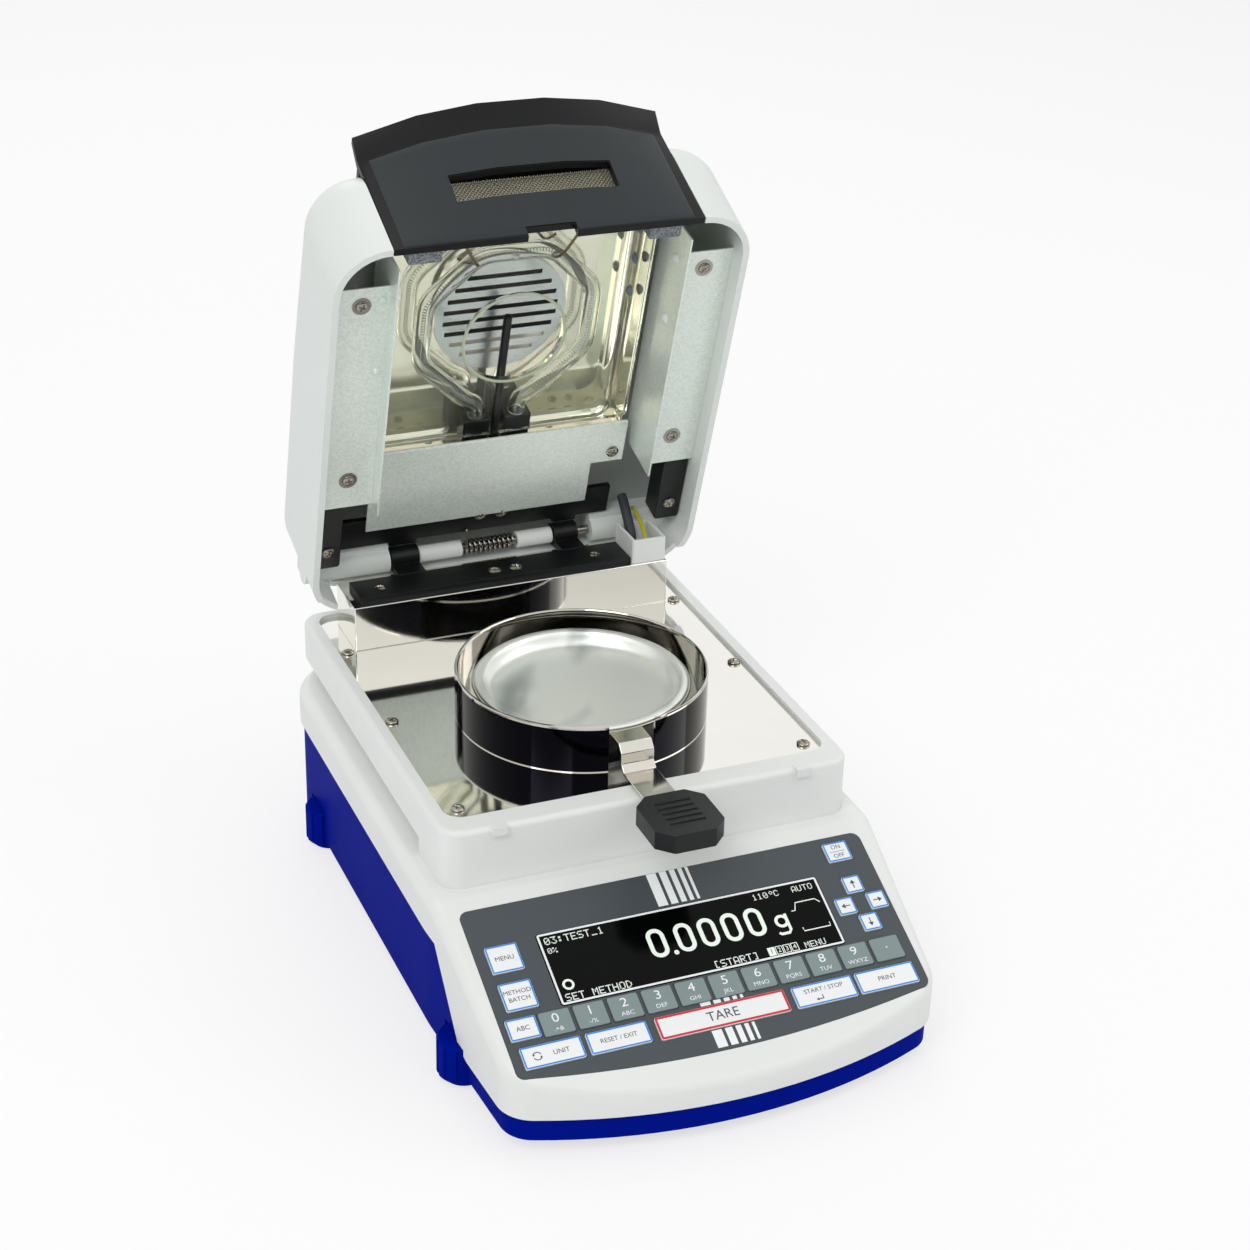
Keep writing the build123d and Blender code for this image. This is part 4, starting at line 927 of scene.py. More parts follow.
class PrintKeys(bpy.types.Operator):
    """Finishes the keys and prints their borders and signs"""

    bl_idname = "analyzer.print_keys"
    bl_label = "Print the keys"

    def execute(self, context):
        s = settings("analyzer_console")
        for node in frame["nodes"]:
            if not node.startswith("key_"):
                continue
            key = node[4:]
            centre, width, length, thick = slab_on_slope(node)
            sheet = Sheet(centre, node, thick / 2 + s.ink / MM)
            if key.isdigit() or key == "dot":
                dressed(node, F["key_grey"], 0.18)
                self.number(key, sheet)
            else:
                dressed(node, F["key_white"], 0.18)
                self.signs(key, width, length, s.border / MM, sheet)
        return {"FINISHED"}

    def number(self, key, sheet):
        """A number key's sign, with its small letters below."""
        sign = "." if key == "dot" else key
        flat_text("sign_" + key, sign, 4.0, (0, 1.9), F["ink_white"], sheet, 1.15)
        if key in SMALL_LABELS:
            flat_text("letters_" + key, SMALL_LABELS[key], 1.9, (0, -3.0), F["ink_white"], sheet, 1.1)

    def signs(self, key, width, length, border, sheet):
        """A white key's border, with its words and its drawn sign."""
        edge = F["ink_red" if key == "tare" else "ink_blue"]
        flat_frame(
            "border_" + key, width / 2 - 0.15, length / 2 - 0.15, 0.7,
            border * (1.5 if key == "tare" else 1), (0, 0), edge, sheet,
        )
        for n, (words, height, u, v) in enumerate(LABELS.get(key, [])):
            flat_text(f"sign_{key}_{n}", words, height, (u, v), F["ink_dark"], sheet)
        if key in ARROWS:
            self.arrow(key, sheet)
        if key in DRAWN_SIGNS:
            shape, corners = DRAWN_SIGNS[key]
            flat_patch(f"{shape}_{key}", corners, F["ink_dark"], sheet)
        if key == "unit":
            self.cycle(sheet)

    def arrow(self, key, sheet):
        """An arrow of a shaft and a head, turned by its direction."""
        shape = np.array(
            [(-0.22, -2.0), (0.22, -2.0), (0.22, 0.4), (1.2, 0.4), (0, 2.1), (-1.2, 0.4), (-0.22, 0.4)]
        )
        a = math.radians(ARROWS[key])
        turned = shape @ np.array([[math.cos(a), math.sin(a)], [-math.sin(a), math.cos(a)]])
        flat_patch("arrow_" + key, turned, F["ink_dark"], sheet)

    def cycle(self, sheet):
        """Two curved arrows that chase each other: arcs of a ring, each with a pointed end."""
        for n, start in enumerate((20, 200)):
            a = np.radians(np.linspace(start, start + 125, 10))
            outer = np.column_stack([1.9 * np.cos(a), 1.9 * np.sin(a)])
            inner = np.column_stack([1.5 * np.cos(a[::-1]), 1.5 * np.sin(a[::-1])])
            end = math.radians(start + 160)
            tip = np.array([[1.1 * math.cos(a[-1]), 1.1 * math.sin(a[-1])]])
            peak = np.array([[2.3 * math.cos(a[-1]), 2.3 * math.sin(a[-1])]])
            point = np.array([[1.7 * math.cos(end), 1.7 * math.sin(end)]])
            shape = np.concatenate([outer, peak, point, tip, inner]) + np.array([-6.5, 0])
            flat_patch(f"cycle_unit_{n}", shape, F["ink_dark"], sheet)


class DressConsole(bpy.types.Operator):
    """Finishes the foil and the display, with its stripes and lit signs"""

    bl_idname = "analyzer.dress_console"
    bl_label = "Dress the console"

    def execute(self, context):
        ink = settings("analyzer_console").ink / MM
        dressed("panel_foil", F["foil"], 0.12)
        dressed("display_module", F["lcd"], 0.2)
        centre, width, length, thick = slab_on_slope("display_module")
        sheet = Sheet(centre, "base", thick / 2 + ink)
        flat_frame(
            "display_border", width / 2 - 0.2, length / 2 - 0.2, 1.0, 0.9, (0, 0), F["ink_white"], sheet,
        )
        self.reading(F["segment"], sheet)
        self.words(F["segment"], sheet)
        self.cells(F["segment"], sheet)
        self.signs(F["segment"], sheet)
        self.stripes(ink)
        return {"FINISHED"}

    def reading(self, lit, sheet):
        """The large reading: five zeros, a point and a gram sign."""
        for n in range(5):
            u = -15.0 + n * 10.6 + (1.6 if n else 0)
            flat_frame(f"display_zero_{n}", 4.0, 6.9, 3.9, 1.9, (u, 1.6), lit, sheet)
        flat_frame("display_point", 1.05, 1.05, 0.9, 0.95, (-8.7, -4.4), lit, sheet)
        flat_frame("display_gram", 3.1, 3.1, 3.0, 1.4, (40.4, -0.6), lit, sheet)
        tail = [(42.9, 2.6), (42.9, -5.2), (41.8, -6.6), (38.2, -6.6), (37.4, -5.8)]
        flat_line("display_gram_tail", tail, 1.3, lit, sheet._replace(lift=sheet.lift + 0.01))

    def words(self, lit, sheet):
        """The dot-matrix words round the reading."""
        for name, words, height, u, v in (
            ("title", "03:TEST_1", 3.4, -60.8, 11.4), ("share", "0%", 2.6, -60.8, 7.2),
            ("method", "SET METHOD", 3.4, -60.8, -15.6), ("start", "[START]", 3.4, 4.4, -15.6),
            ("heat", "110*C", 2.9, 32.4, 11.6), ("auto", "AUTO", 2.9, 50.6, 11.6),
            ("menu", "MENU", 2.9, 45.6, -15.4),
        ):
            dot_words("display_" + name, words, height, (u, v), lit, sheet)

    def cells(self, lit, sheet):
        """Four numbered cells in a row, the first one filled."""
        over = sheet._replace(lift=sheet.lift + 0.02)
        for n in range(4):
            u = 30.6 + n * 3.5
            if n:
                flat_frame(f"display_cell_{n}", 1.6, 2.0, 0.2, 0.35, (u, -13.6), lit, sheet)
            else:
                filled = [(29, -15.6), (32.2, -15.6), (32.2, -11.6), (29, -11.6)]
                flat_patch("display_cell_0", filled, lit, sheet)
            flat_text(f"display_digit_{n}", str(n + 1), 2.2, (u, -13.6), lit if n else F["lcd"], over)

    def signs(self, lit, sheet):
        """The heating curve with the tray below it, and the round mark at the lower left."""
        curve = [(46.5, 3.0), (48.2, 3.0), (49.6, 6.6), (58.6, 6.6), (60.4, 4.6)]
        flat_line("display_curve", curve, 0.5, lit, sheet)
        floor = [(48.2, -5.6), (48.2, -7.4), (60.4, -7.4), (60.4, -5.6)]
        flat_line("display_floor", floor, 0.5, lit, sheet)
        a = np.linspace(0, 2 * math.pi, 24, endpoint=False)
        circle = np.column_stack([np.cos(a), np.sin(a)])
        flat_ring("display_ring", 2.5 * circle, 1.5 * circle, (-57.6, -8.2), lit, sheet)

    def stripes(self, ink):
        """Upright printed bars at the foil's top edge and between and below the keys."""
        centre, _, length, thick = slab_on_slope("key_tare")
        sheet = Sheet(centre, "base", thick / 2 - KEY_PROUD + ink)
        high = box_mm("panel_foil")[1]
        top_v = (high[1] - centre[1]) / math.cos(PANEL_ANGLE) - 0.35
        display, _, display_length, _ = slab_on_slope("display_module")
        display_v = (display[1] - centre[1]) / math.cos(PANEL_ANGLE)
        bars = ((-7.4, 4.4), (-1.6, 3.2), (3.0, 2.5), (6.9, 1.9), (10.2, 1.3))
        rows = (
            ("top", display_v + display_length / 2 + 0.2, top_v),
            ("middle", length / 2 + 0.6, length / 2 + 2.2),
            ("low", -length / 2 - 8.6, -length / 2 - 0.6),
        )
        for row, low_v, high_v in rows:
            for n, (u, wide) in enumerate(bars):
                bar = [(u, low_v), (u + wide, low_v), (u + wide, high_v), (u, high_v)]
                flat_patch(f"stripe_{row}_{n}", bar, F["ink_white"], sheet)


# Chamber
SCREW_SPOTS = ((81.9, 103.5), (82.6, 35.1), (79.5, -44.0))
DRAWN_PAN_Y = 18.5
PAN_Y = DRAWN_PAN_Y + SHIFT_Y


# A head's recess as shares of its radius and height, then a washer's face and how deep a head is set
CROSS_REACH = 0.62
CROSS_HALF_WIDTH = 0.15
CROSS_DEPTH = 0.55
WASHER_TOP = 0.35
HEAD_SINK = 0.2


def cross_head(name, centre, normal, radius, height, body, turn, washer=0.0):
    """A domed screw head: z = height sqrt(1 - 0.8 (r/R)^2), sunk inside two crossed bars by a step."""
    rings, segments = 14, 40
    r = np.linspace(0, 1, rings)[:, None]
    t = np.linspace(0, 2 * math.pi, segments, endpoint=False)[None, :]
    x, y = r * np.cos(t), r * np.sin(t)
    dome = height * np.sqrt(1 - 0.8 * r * r) * np.ones_like(t)
    reach = np.clip((CROSS_REACH - r) / 0.1, 0, 1)
    bar = np.clip((CROSS_HALF_WIDTH - np.minimum(np.abs(x), np.abs(y))) / 0.05, 0, 1)
    z = dome - CROSS_DEPTH * height * bar * reach
    cap = np.stack([x * radius, y * radius, z], -1)
    skirt = cap[-1:].copy()
    skirt[..., 2] = -HEAD_SINK
    rows = [cap, skirt]
    if washer:
        flange = np.stack([np.cos(t), np.sin(t), np.zeros_like(t)], -1)
        for out, level in ((radius * 1.02, WASHER_TOP), (washer, WASHER_TOP), (washer, -HEAD_SINK)):
            rows.append(flange * out + [0, 0, level])
    points = np.concatenate(rows)
    n = np.asarray(normal, float) / np.linalg.norm(normal)
    side = np.cross(n, [0.3, 0.9, 0.1])
    side /= np.linalg.norm(side)
    up = np.cross(n, side)
    a = math.radians(turn)
    side, up = side * math.cos(a) + up * math.sin(a), up * math.cos(a) - side * math.sin(a)
    placed = np.asarray(centre) + points[..., :1] * side + points[..., 1:2] * up + points[..., 2:] * n
    faces = grid_faces(len(points), segments, close_columns=True)
    obj = make_object(name, placed.reshape(-1, 3), faces, F["screw"], body)
    merge(obj)
    shade(obj, 50)
    return obj


class DressChamber(bpy.types.Operator):
    """Finishes the chamber's floor and hinge box, and makes its screws"""

    bl_idname = "analyzer.dress_chamber"
    bl_label = "Dress the chamber"

    def execute(self, context):
        dressed("floor_plate", F["mirror"], 0.15)
        dressed("hinge_box", F["mirror"], 0.6)
        top = box_mm("floor_plate")[1][2]
        for n, (x, y) in enumerate(SCREW_SPOTS):
            for side, name in SIDES:
                cross_head(
                    f"floor_screw_{n}_{name}", (side * x, y + SHIFT_Y, top), UP, 2.9, 1.9, "base",
                    turn=20 + 37 * n + 11 * side,
                )
        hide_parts("floor_screws")
        return {"FINISHED"}


def dome(name, centre, normal, radius, height, material, body):
    """A round button: a quarter ellipse turned about its axis and set with that axis along a direction."""
    t = np.linspace(0, math.pi / 2, 7)
    axis = np.asarray(normal, float) / np.linalg.norm(normal)
    side = np.cross(axis, UP if abs(axis[2]) < 0.9 else (1, 0, 0))
    side /= np.linalg.norm(side)
    other = np.cross(axis, side)

    def place(points):
        return centre + np.asarray(points) @ np.array([side, other, axis])

    profile = [(radius * math.cos(a), height * math.sin(a)) for a in t[:-1]] + [(0.0, height), (0.0, 0.0)]
    return lathe(name, profile, (0, 0, 0), material, body, 24, place)


# Weighing group
class AddWeighingGroup(bpy.types.Operator):
    """Makes the wind shield, the sample pan, the lifter and its grip"""

    bl_idname = "analyzer.add_weighing_group"
    bl_label = "Add the weighing group"

    def execute(self, context):
        self.shield()
        self.pan()
        dressed("pan_lifter", F["bent"], 0.25)
        dressed("lifter_grip", F["black"], 0.5)
        return {"FINISHED"}

    def shield(self):
        """A rolled ring of sheet with a slot: a wall section with a bead on top, carried round an arc."""
        low, high = box_mm("wind_shield")
        radius = (high[0] - low[0]) / 2
        wall = 1.0
        slot = (math.asin(-9.3 / radius), math.asin(12.0 / radius))
        bottom, top = low[2], high[2]
        section = np.array([
            (0, bottom), (0, bottom + 0.4), (0, top - 1.4), (0, top - 0.6), (-0.25, top - 0.15), (-0.7, top),
            (-1.2, top - 0.15), (-1.5, top - 0.6), (-1.4, top - 1.2), (-wall, top - 1.6), (-wall, bottom),
        ])
        first = -math.pi / 2 + slot[1]
        last = 1.5 * math.pi + slot[0]
        t = np.linspace(first, last, 160)
        points = np.empty((len(t), len(section), 3))
        points[..., 0] = np.cos(t)[:, None] * (radius + section[:, 0])
        points[..., 1] = PAN_Y + np.sin(t)[:, None] * (radius + section[:, 0])
        points[..., 2] = section[:, 1]
        count = len(section)
        faces = [tuple(f) for f in grid_faces(len(t), count, close_columns=True)]
        faces += [tuple(range(count)), tuple(reversed(range((len(t) - 1) * count, len(t) * count)))]
        finishes = [F["shield"], F["shield_dark"]]
        ring = make_object("wind_shield_ring", points.reshape(-1, 3), faces, finishes, "wind_shield")
        which = np.zeros(len(ring.data.polygons), int)
        which[1:(len(t) - 1) * count:count] = 1
        ring.data.polygons.foreach_set("material_index", which)
        recalculate(ring)
        shade(ring, 24)
        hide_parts("wind_shield")

    def pan(self):
        """A pressed pan turned from its half section: flat floor, cove, sloping wall and rolled rim."""
        low, high = box_mm("sample_pan")
        radius, rim, floor = (high[0] - low[0]) / 2, high[2], low[2]
        profile = [
            (0.0, floor + 0.6), (36.0, floor + 0.6), (38.5, floor + 0.75), (40.2, floor + 1.5),
            (41.4, floor + 3.0), (42.4, floor + 4.8), (43.2, rim - 0.7), (43.9, rim - 0.1),
            (44.8, rim), (45.8, rim - 0.1), (radius - 0.9, rim - 0.25), (radius - 0.2, rim - 0.5),
            (radius, rim - 0.9), (radius - 0.3, rim - 1.25), (radius - 0.9, rim - 1.2), (46.0, rim - 0.9),
            (44.4, rim - 1.0), (43.6, rim - 1.9), (42.8, floor + 4.2), (41.9, floor + 2.4),
            (40.8, floor + 0.8), (38.8, floor + 0.05), (36.0, floor), (0.0, floor),
        ]
        pan = lathe("sample_pan_pressing", profile, (0, PAN_Y, 0), F["pan"], "pan", 128)
        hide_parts("sample_pan")


# Hinge
class DressHinge(bpy.types.Operator):
    """Finishes the hinge and winds its spring"""

    bl_idname = "analyzer.dress_hinge"
    bl_label = "Dress the hinge"

    def execute(self, context):
        s = settings("analyzer_hinge")
        dressed("hinge_bar", F["black"], 0.3)
        dressed("lid_bar", F["black"], 0.3)
        dressed("hinge_rod", F["steel"], 0.2)
        dressed("hinge_sleeves", F["white"], 0.3)
        self.spring(s.turns, s.wire / MM)
        top = box_mm("hinge_bar")[0][2] + 3.0
        for n, x in enumerate((-6.0, 4.5)):
            cross_head(
                f"bar_screw_{n}", (x, 115.5 + SHIFT_Y, top), UP, 3.1, 1.5, "base", turn=15 + 50 * n,
            )
            place = opened((x, 121.5, 124.2))
            down = opened_direction(*DOWN)
            cross_head(f"lid_bar_screw_{n}", place, down, 2.8, 1.4, "lid", turn=40 + 30 * n)
        for n, x in enumerate((-62.0, 45.0)):
            cross_head(
                f"bar_end_screw_{n}", (x, 116.0 + SHIFT_Y, top), UP, 2.6, 1.2, "base", turn=60 * n,
            )
        return {"FINISHED"}

    def spring(self, turns, wire):
        """A helix along X: y = R cos a, z = R sin a, x even in a, with a straight leg off its first end."""
        low, high = box_mm("torsion_spring")
        left, right = low[0] + wire, high[0] - wire
        radius = (high[1] - low[1]) / 2 - wire
        a = np.linspace(0, 2 * math.pi * turns, turns * 24)
        coil = np.column_stack([
            np.linspace(left, right, len(a)),
            HINGE[1] + radius * np.cos(a + math.pi),
            HINGE[2] + radius * np.sin(a + math.pi),
        ])
        leg = np.array([[left, HINGE[1] - radius, HINGE[2] + z] for z in np.linspace(11, 0.6, 10)])
        tube("hood_spring", np.concatenate([leg, coil]), wire, F["steel"], "base", 10)
        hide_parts("torsion_spring")


# Hood
class DressHood(bpy.types.Operator):
    """Finishes the hood and what hangs inside it"""

    bl_idname = "analyzer.dress_hood"
    bl_label = "Dress the hood"

    def execute(self, context):
        dressed("hood", F["hood_white"], 0.6)
        dressed("side_plates", F["galvanised"], 0.2)
        dressed("rear_cover", F["galvanised"], 0.25)
        self.cover_edge()
        self.brackets()
        s = settings("analyzer_hood")
        self.pads(s.pad_depth / MM)
        self.side_screws(s.washer / MM)
        self.clips()
        self.cable_guide()
        return {"FINISHED"}

    def cover_edge(self):
        """The rear cover's front edge, rolled over: half a turn of sheet along it."""
        a = np.linspace(-math.pi / 2, math.pi / 2, 9)
        x = np.array([-62.6, 62.6])
        xs, angles = np.meshgrid(x, a, indexing="ij")
        points = np.stack([xs, 75.0 - 0.9 * np.cos(angles), 123.6 + 0.9 * np.sin(angles)], -1)
        faces = grid_faces(2, len(a))
        make_object(
            "cover_rolled_edge", opened(points).reshape(-1, 3), faces[:, ::-1], F["galvanised"], "lid",
        )

    def brackets(self):
        """Black corner brackets between the hood's side and the rear cover."""
        for side, name in SIDES:
            xs = sorted((side * 79.0, side * 91.5))
            outline = round_corners(xs[0], xs[1], 92.0, 128.0, 1.5)
            hood_prism(f"corner_bracket_{name}", outline, 110.0, 122.0, F["black"], 0.4)

    def pads(self, depth):
        """Foam pads behind the front edge."""
        for side, name in SIDES:
            xs = sorted((side * 47.0, side * 62.0))
            outline = round_corners(xs[0], xs[1], -52.5, -44.0, 1.2)
            hood_prism(f"foam_pad_{name}", outline, 103.0, 103.0 + depth, F["foam"], 0.6)

    def clips(self):
        """White snap rivets in the right plate's edge, tabs in the left one, and grey bumpers inside."""
        inward = opened_direction(-1, 0, -0.6)
        for n, y in enumerate((-27.0, 6.0)):
            place = opened((66.0, y, 110.5))
            dome(f"snap_rivet_{n}", place, inward, 2.6, 1.6, F["white"], "lid")
        for n, y in enumerate((-24.0, 14.0)):
            place = opened((-70.0, y, 108.0))
            dome(f"punched_tab_{n}", place, opened_direction(*DOWN), 2.0, 1.4, F["galvanised"], "lid")
        for n, y in enumerate((-26.0, -10.0, 8.0)):
            for side, name in SIDES:
                place = opened((side * 59.2, y, 137.0))
                dome(
                    f"bumper_{name}_{n}", place, opened_direction(-side, 0, 0), 2.6, 2.0, F["bumper"], "lid",
                )

    def side_screws(self, washer):
        """Screws and washers on the side plates and the rear cover."""
        down = opened_direction(*DOWN)
        for n, (x, y) in enumerate(((-79, -22), (-79, 74), (79, -22), (79, 74))):
            place = opened((x, y, 108.0))
            cross_head(f"side_screw_{n}", place, down, 2.7, 1.6, "lid", turn=33 * n, washer=washer)
        place = opened((57.0, 92.0, 123.0))
        cross_head("cover_screw", place, down, 3.0, 1.6, "lid", turn=10)
        for n, side in enumerate((-1, 1)):
            place = opened((side * 85.2, 118.0, 110.0))
            cross_head(f"bracket_screw_{n}", place, down, 3.0, 1.6, "lid", turn=70 * n)

    def cable_guide(self):
        """An open white box on the hinge box, with the sleeve and wire that pass through it."""
        top = box_mm("hinge_box")[1][2]
        outer = round_corners(60.6, 77.6, 105.5, 128.0, 1.0) + [0, SHIFT_Y]
        inner = round_corners(62.2, 76.0, 107.1, 126.4, 0.6) + [0, SHIFT_Y]
        n = len(outer)
        rows = [(outer, top), (outer, top + 12.0), (inner, top + 12.0), (inner, top + 1.5)]
        points = np.concatenate([np.column_stack([o, np.full(n, z)]) for o, z in rows])
        faces = [tuple(f) for f in grid_faces(4, n, close_columns=True)]
        faces += [tuple(range(n)), tuple(reversed(range(3 * n, 4 * n)))]
        guide = make_object("cable_guide", points, faces, F["white"], "base", smooth=False)
        recalculate(guide)
        soften(guide, 0.3)
        route = np.array(
            [(66, 123, top + 2), (66, 120, top + 7), (66, 127, top + 16), (67, 136, top + 22)], float,
        )
        tube("cable_sleeve", rounded_path(route + [0, SHIFT_Y, 0], 6, 1), 2.4, F["rubber"], "base", 14)
        wire = np.array(
            [(71, 110, top + 2), (71, 115, top + 9), (72, 124, top + 13), (72, 134, top + 16)], float,
        )
        tube("earth_wire", rounded_path(wire + [0, SHIFT_Y, 0], 6, 1), 0.9, F["wire_yellow"], "base", 10)


# Visor
VISOR_LOW_Z = 98.6
VISOR_HIGH_Z = 154.0
MESH_Y = -51.5
MESH_LEAN = 16.0
VISOR_SHARE = ((-1.0, 0.0), (-0.6, 0.7), (-0.22, 1.0), (0.22, 1.0), (0.6, 0.7), (1.0, 0.0))


class DressVisor(bpy.types.Operator):
    """Finishes the front visor and weaves its vent mesh"""

    bl_idname = "analyzer.dress_visor"
    bl_label = "Dress the visor"

    def execute(self, context):
        dressed("front_visor", F["visor_black"], 0.5, 25)
        self.face()
        self.mesh(settings("analyzer_hood").mesh_pitch / MM)
        return {"FINISHED"}

    def face(self):
        """The visor's grey face: forward by its lean and bow, both in step with height, less an edge."""
        x = np.array(
            [-65.5, -64.5, -55, -42, -36.9, -28, -15.4, -11.4, 0, 11.4, 15.4, 28, 36.9, 42, 55, 64.5, 65.5]
        )
        z = np.array([99.6, 100.4, 103.0, 110, 119.1, 132.9, 140, 148, 151.0, 152.0])
        xs, zs = np.meshgrid(x, z, indexing="ij")
        share = (zs - VISOR_LOW_Z) / (VISOR_HIGH_Z - VISOR_LOW_Z)
        bow = np.interp(xs / 70.0, [s for s, _ in VISOR_SHARE], [b for _, b in VISOR_SHARE])
        edge = (np.abs(xs) > 65) | (zs < 100) | (zs > 151.5)
        y = -56.0 - 7.0 * share - 12.0 * share * bow - np.where(edge, 0.05, 0.32)
        middle = (xs[:-1, :-1] + xs[1:, 1:]) / 2, (zs[:-1, :-1] + zs[1:, 1:]) / 2
        window = (np.abs(middle[0]) < 36.9) & (middle[1] > 119.1) & (middle[1] < 132.9)
        notch = (np.abs(middle[0]) < 11.4) & (middle[1] < 103.0)
        faces = grid_faces(len(x), len(z))[~(window | notch).ravel()]
        points = opened(np.stack([xs, y, zs], -1)).reshape(-1, 3)
        panel = make_object("visor_face", points, faces[:, ::-1], F["visor"], "lid")
        shade(panel, 25)

    def mesh(self, pitch):
        """Plain weave: wires a pitch apart, each a wave whose crests pass over every second crossing."""
        half, low, high, wire = 37.5, 118.5, 133.5, 0.24
        along = np.arange(-half, half, pitch)
        up = np.arange(low, high, pitch)
        verts, faces = [], []
        for n, z in enumerate(up):
            x = np.linspace(-half, half, len(along) * 2)
            wave = 0.22 * np.sin(x / pitch * math.pi + n * math.pi)
            self.strand(verts, faces, np.column_stack([x, self.depth(z) + wave, np.full_like(x, z)]), wire)
        for n, x in enumerate(along):
            z = np.linspace(low, high, len(up) * 2)
            wave = -0.22 * np.sin(z / pitch * math.pi + n * math.pi)
            self.strand(verts, faces, np.column_stack([np.full_like(z, x), self.depth(z) + wave, z]), wire)
        make_object("vent_mesh", opened(np.array(verts)), faces, F["mesh"], "lid")

    def depth(self, z):
        """How far forward the mesh lies at a height, behind the visor's leaning wall."""
        return MESH_Y - MESH_LEAN * (np.asarray(z) - VISOR_LOW_Z) / (VISOR_HIGH_Z - VISOR_LOW_Z)

    def strand(self, verts, faces, path, radius):
        """One wire with three sides."""
        start = len(verts)
        ring = tube_points(path, radius, 3)
        verts.extend(ring.reshape(-1, 3))
        faces.extend(tuple(start + f) for f in grid_faces(len(path), 3, close_columns=True))


# Heater
DISC_FACE_Z = 144.7
VENT_PITCH = 6.0
VENT_HALF_WIDTH = 1.19
DUCT_RADIUS = 27.4


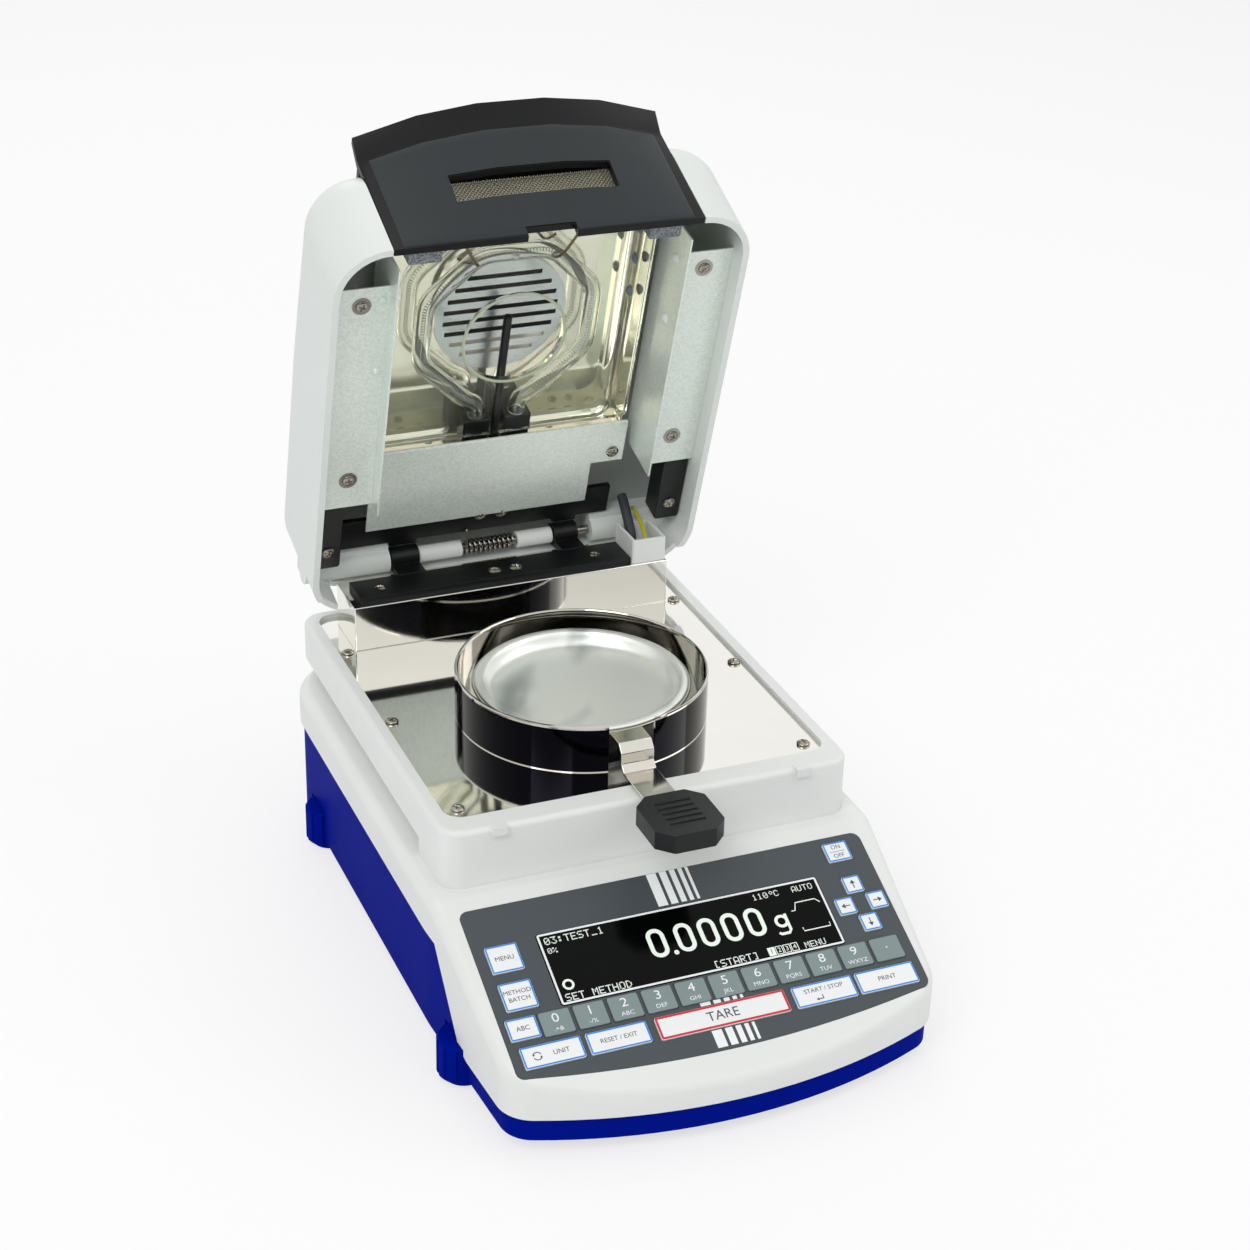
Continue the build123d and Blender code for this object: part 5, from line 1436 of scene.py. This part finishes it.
class AddHeater(bpy.types.Operator):
    """Makes the reflector, the glass, the lamp and what holds it"""

    bl_idname = "analyzer.add_heater"
    bl_label = "Add the heater"

    def execute(self, context):
        s = settings("analyzer_heater")
        dressed("reflector", F["reflector"], 0.3)
        dressed("chamber_glass", F["glass"], 0.2)
        dressed("vent_disc", F["disc"], 0.15)
        dressed("lamp_sockets", F["black"], 0.8)
        dressed("temperature_sensor", F["black"], 0.0)
        self.vent_shadows()
        self.glass_edge()
        self.lamp(s.tube_radius / MM, s.filament_turns)
        self.holders()
        self.pins()
        self.reflector_screws()
        return {"FINISHED"}

    def vent_shadows(self):
        """Painted shade of the dark duct behind the disc's front slots: a strip in each, its ends on a circle
        in the rim.
        """
        low = DISC_FACE_Z + 0.25
        for n in range(6):
            at = (n - 3.5) * VENT_PITCH
            reach = math.sqrt(DUCT_RADIUS ** 2 - at ** 2)
            y = DRAWN_PAN_Y + at
            outline = round_corners(-reach, reach, y - VENT_HALF_WIDTH, y + VENT_HALF_WIDTH, 0.3)
            # Each strip is painted shade: a dark sheet where the unlit duct shows through a slot
            hood_prism(f"vent_slot_shade_{n}", outline, low, low + 0.9, F["duct"])

    def glass_edge(self):
        """The ground edge of the glass's round hole: a pale band round it."""
        profile = [(23.4, 124.95), (24.9, 124.95), (24.9, 124.85), (23.4, 124.85)]
        lathe("glass_hole_edge", profile, (0, DRAWN_PAN_Y, 0), F["frosted"], "lid", 96, opened)

    def lamp(self, radius, turns):
        """A quartz tube along an eight-sided ring with two leads, and a fine coil down its middle."""
        ring, z, lead, start = 40.0, 136.0, 10.0, 69.0
        half = ring * math.tan(math.pi / 8)
        corners = [
            (-lead, start), (-lead, DRAWN_PAN_Y + ring + 4), (-half, DRAWN_PAN_Y + ring),
            (-ring, DRAWN_PAN_Y + half), (-ring, DRAWN_PAN_Y - half), (-half, DRAWN_PAN_Y - ring),
        ]
        corners += [(-x, y) for x, y in reversed(corners)]
        path = rounded_path([(x, y, z) for x, y in corners], 7.0, 1.2)
        glass = tube("quartz_lamp", opened(path), radius, F["quartz"], "lid", 20, caps=False)
        wall = glass.modifiers.new("Glass wall", "SOLIDIFY")
        wall.thickness = 0.9 * MM
        wall.offset = -1
        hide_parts("halogen_lamp")
        inner = path[12:-12]
        _, normal, binormal = path_frames(inner)
        steps = turns * 8
        where = np.linspace(0, len(inner) - 1, steps)
        base = np.arange(len(inner))
        smooth = [
            np.stack([np.interp(where, base, a[:, k]) for k in range(3)], 1)
            for a in (inner, normal, binormal)
        ]
        a = np.linspace(0, 2 * math.pi * turns, steps)[:, None]
        coil = smooth[0] + 0.9 * (smooth[1] * np.cos(a) + smooth[2] * np.sin(a))
        tube("lamp_filament", opened(coil), 0.16, F["steel"], "lid", 4)

    def holders(self):
        """Bent wires that hook round the tube from the reflector's front wall."""
        for side, name in SIDES:
            route = [
                (side * 30, -45.5, 128.8), (side * 29, -36, 131), (side * 24, -27, 131),
                (side * 20, -20, 131), (side * 17, -16.5, 136), (side * 20, -14, 141.5),
                (side * 25, -17, 141),
            ]
            tube(f"lamp_holder_{name}", opened(rounded_path(route, 3.0, 0.8)), 0.65, F["bronze"], "lid", 8)

    def pins(self):
        """Short pins that hang from the reflector's roof over the tube, and the tube's sealed tip."""
        for n, x in enumerate((-12.0, -7.0, -1.0)):
            route = [(x, -32.0, 146.0), (x, -31.0, 141.5), (x, -29.5, 139.0)]
            tube(f"lamp_pin_{n}", opened(np.array(route)), 0.5, F["bronze"], "lid", 8)
        place = opened((-2.0, DRAWN_PAN_Y - 41.0, 131.9))
        dome("lamp_tip", place, opened_direction(0, -0.3, -1), 1.8, 3.4, F["quartz"], "lid")

    def reflector_screws(self):
        """Screws on the reflector's rear wall and floor side."""
        forward = opened_direction(0, -1, 0)
        for n, (x, z) in enumerate(((-46, 133), (-38, 133), (38, 133), (46, 133), (-30, 140), (30, 140))):
            place = opened((x, 85.2, z))
            cross_head(f"reflector_screw_{n}", place, forward, 2.0, 1.0, "lid", turn=25 * n)


class AnalyzerPanel(bpy.types.Panel):
    """Lists the analyzer's steps and settings"""

    bl_idname = "VIEW3D_PT_analyzer"
    bl_label = "Moisture analyzer"
    bl_space_type = "VIEW_3D"
    bl_region_type = "UI"
    bl_category = "Analyzer"

    def draw(self, context):
        for step in STEPS:
            self.layout.operator(step.bl_idname)
        for name, group in GROUPS.items():
            column = self.layout.column(align=True)
            for field in group.__annotations__:
                column.prop(getattr(context.scene, name), field)


STEPS = (
    MixFinishes, AddStage, DressHousings, DressConsole, PrintKeys, DressChamber,
    AddWeighingGroup, DressHinge, DressHood, DressVisor, AddHeater,
)
GROUPS = {
    "analyzer_stage": StageSettings,
    "analyzer_colours": ColourSettings,
    "analyzer_console": ConsoleSettings,
    "analyzer_hood": HoodSettings,
    "analyzer_hinge": HingeSettings,
    "analyzer_heater": HeaterSettings,
}


def register():
    """Registers the settings, the operators and the panel."""
    for group in GROUPS.values():
        bpy.utils.register_class(group)
    for name, group in GROUPS.items():
        setattr(bpy.types.Scene, name, PointerProperty(type=group))
    for step in STEPS + (AnalyzerPanel,):
        bpy.utils.register_class(step)


def unregister():
    """Takes them away again."""
    for step in reversed(STEPS + (AnalyzerPanel,)):
        bpy.utils.unregister_class(step)
    for name, group in GROUPS.items():
        delattr(bpy.types.Scene, name)
        bpy.utils.unregister_class(group)


def main():
    """Builds every piece in order."""
    register()
    for step in STEPS:
        area, call = step.bl_idname.split(".")
        getattr(getattr(bpy.ops, area), call)()


if __name__ == "__main__":
    main()
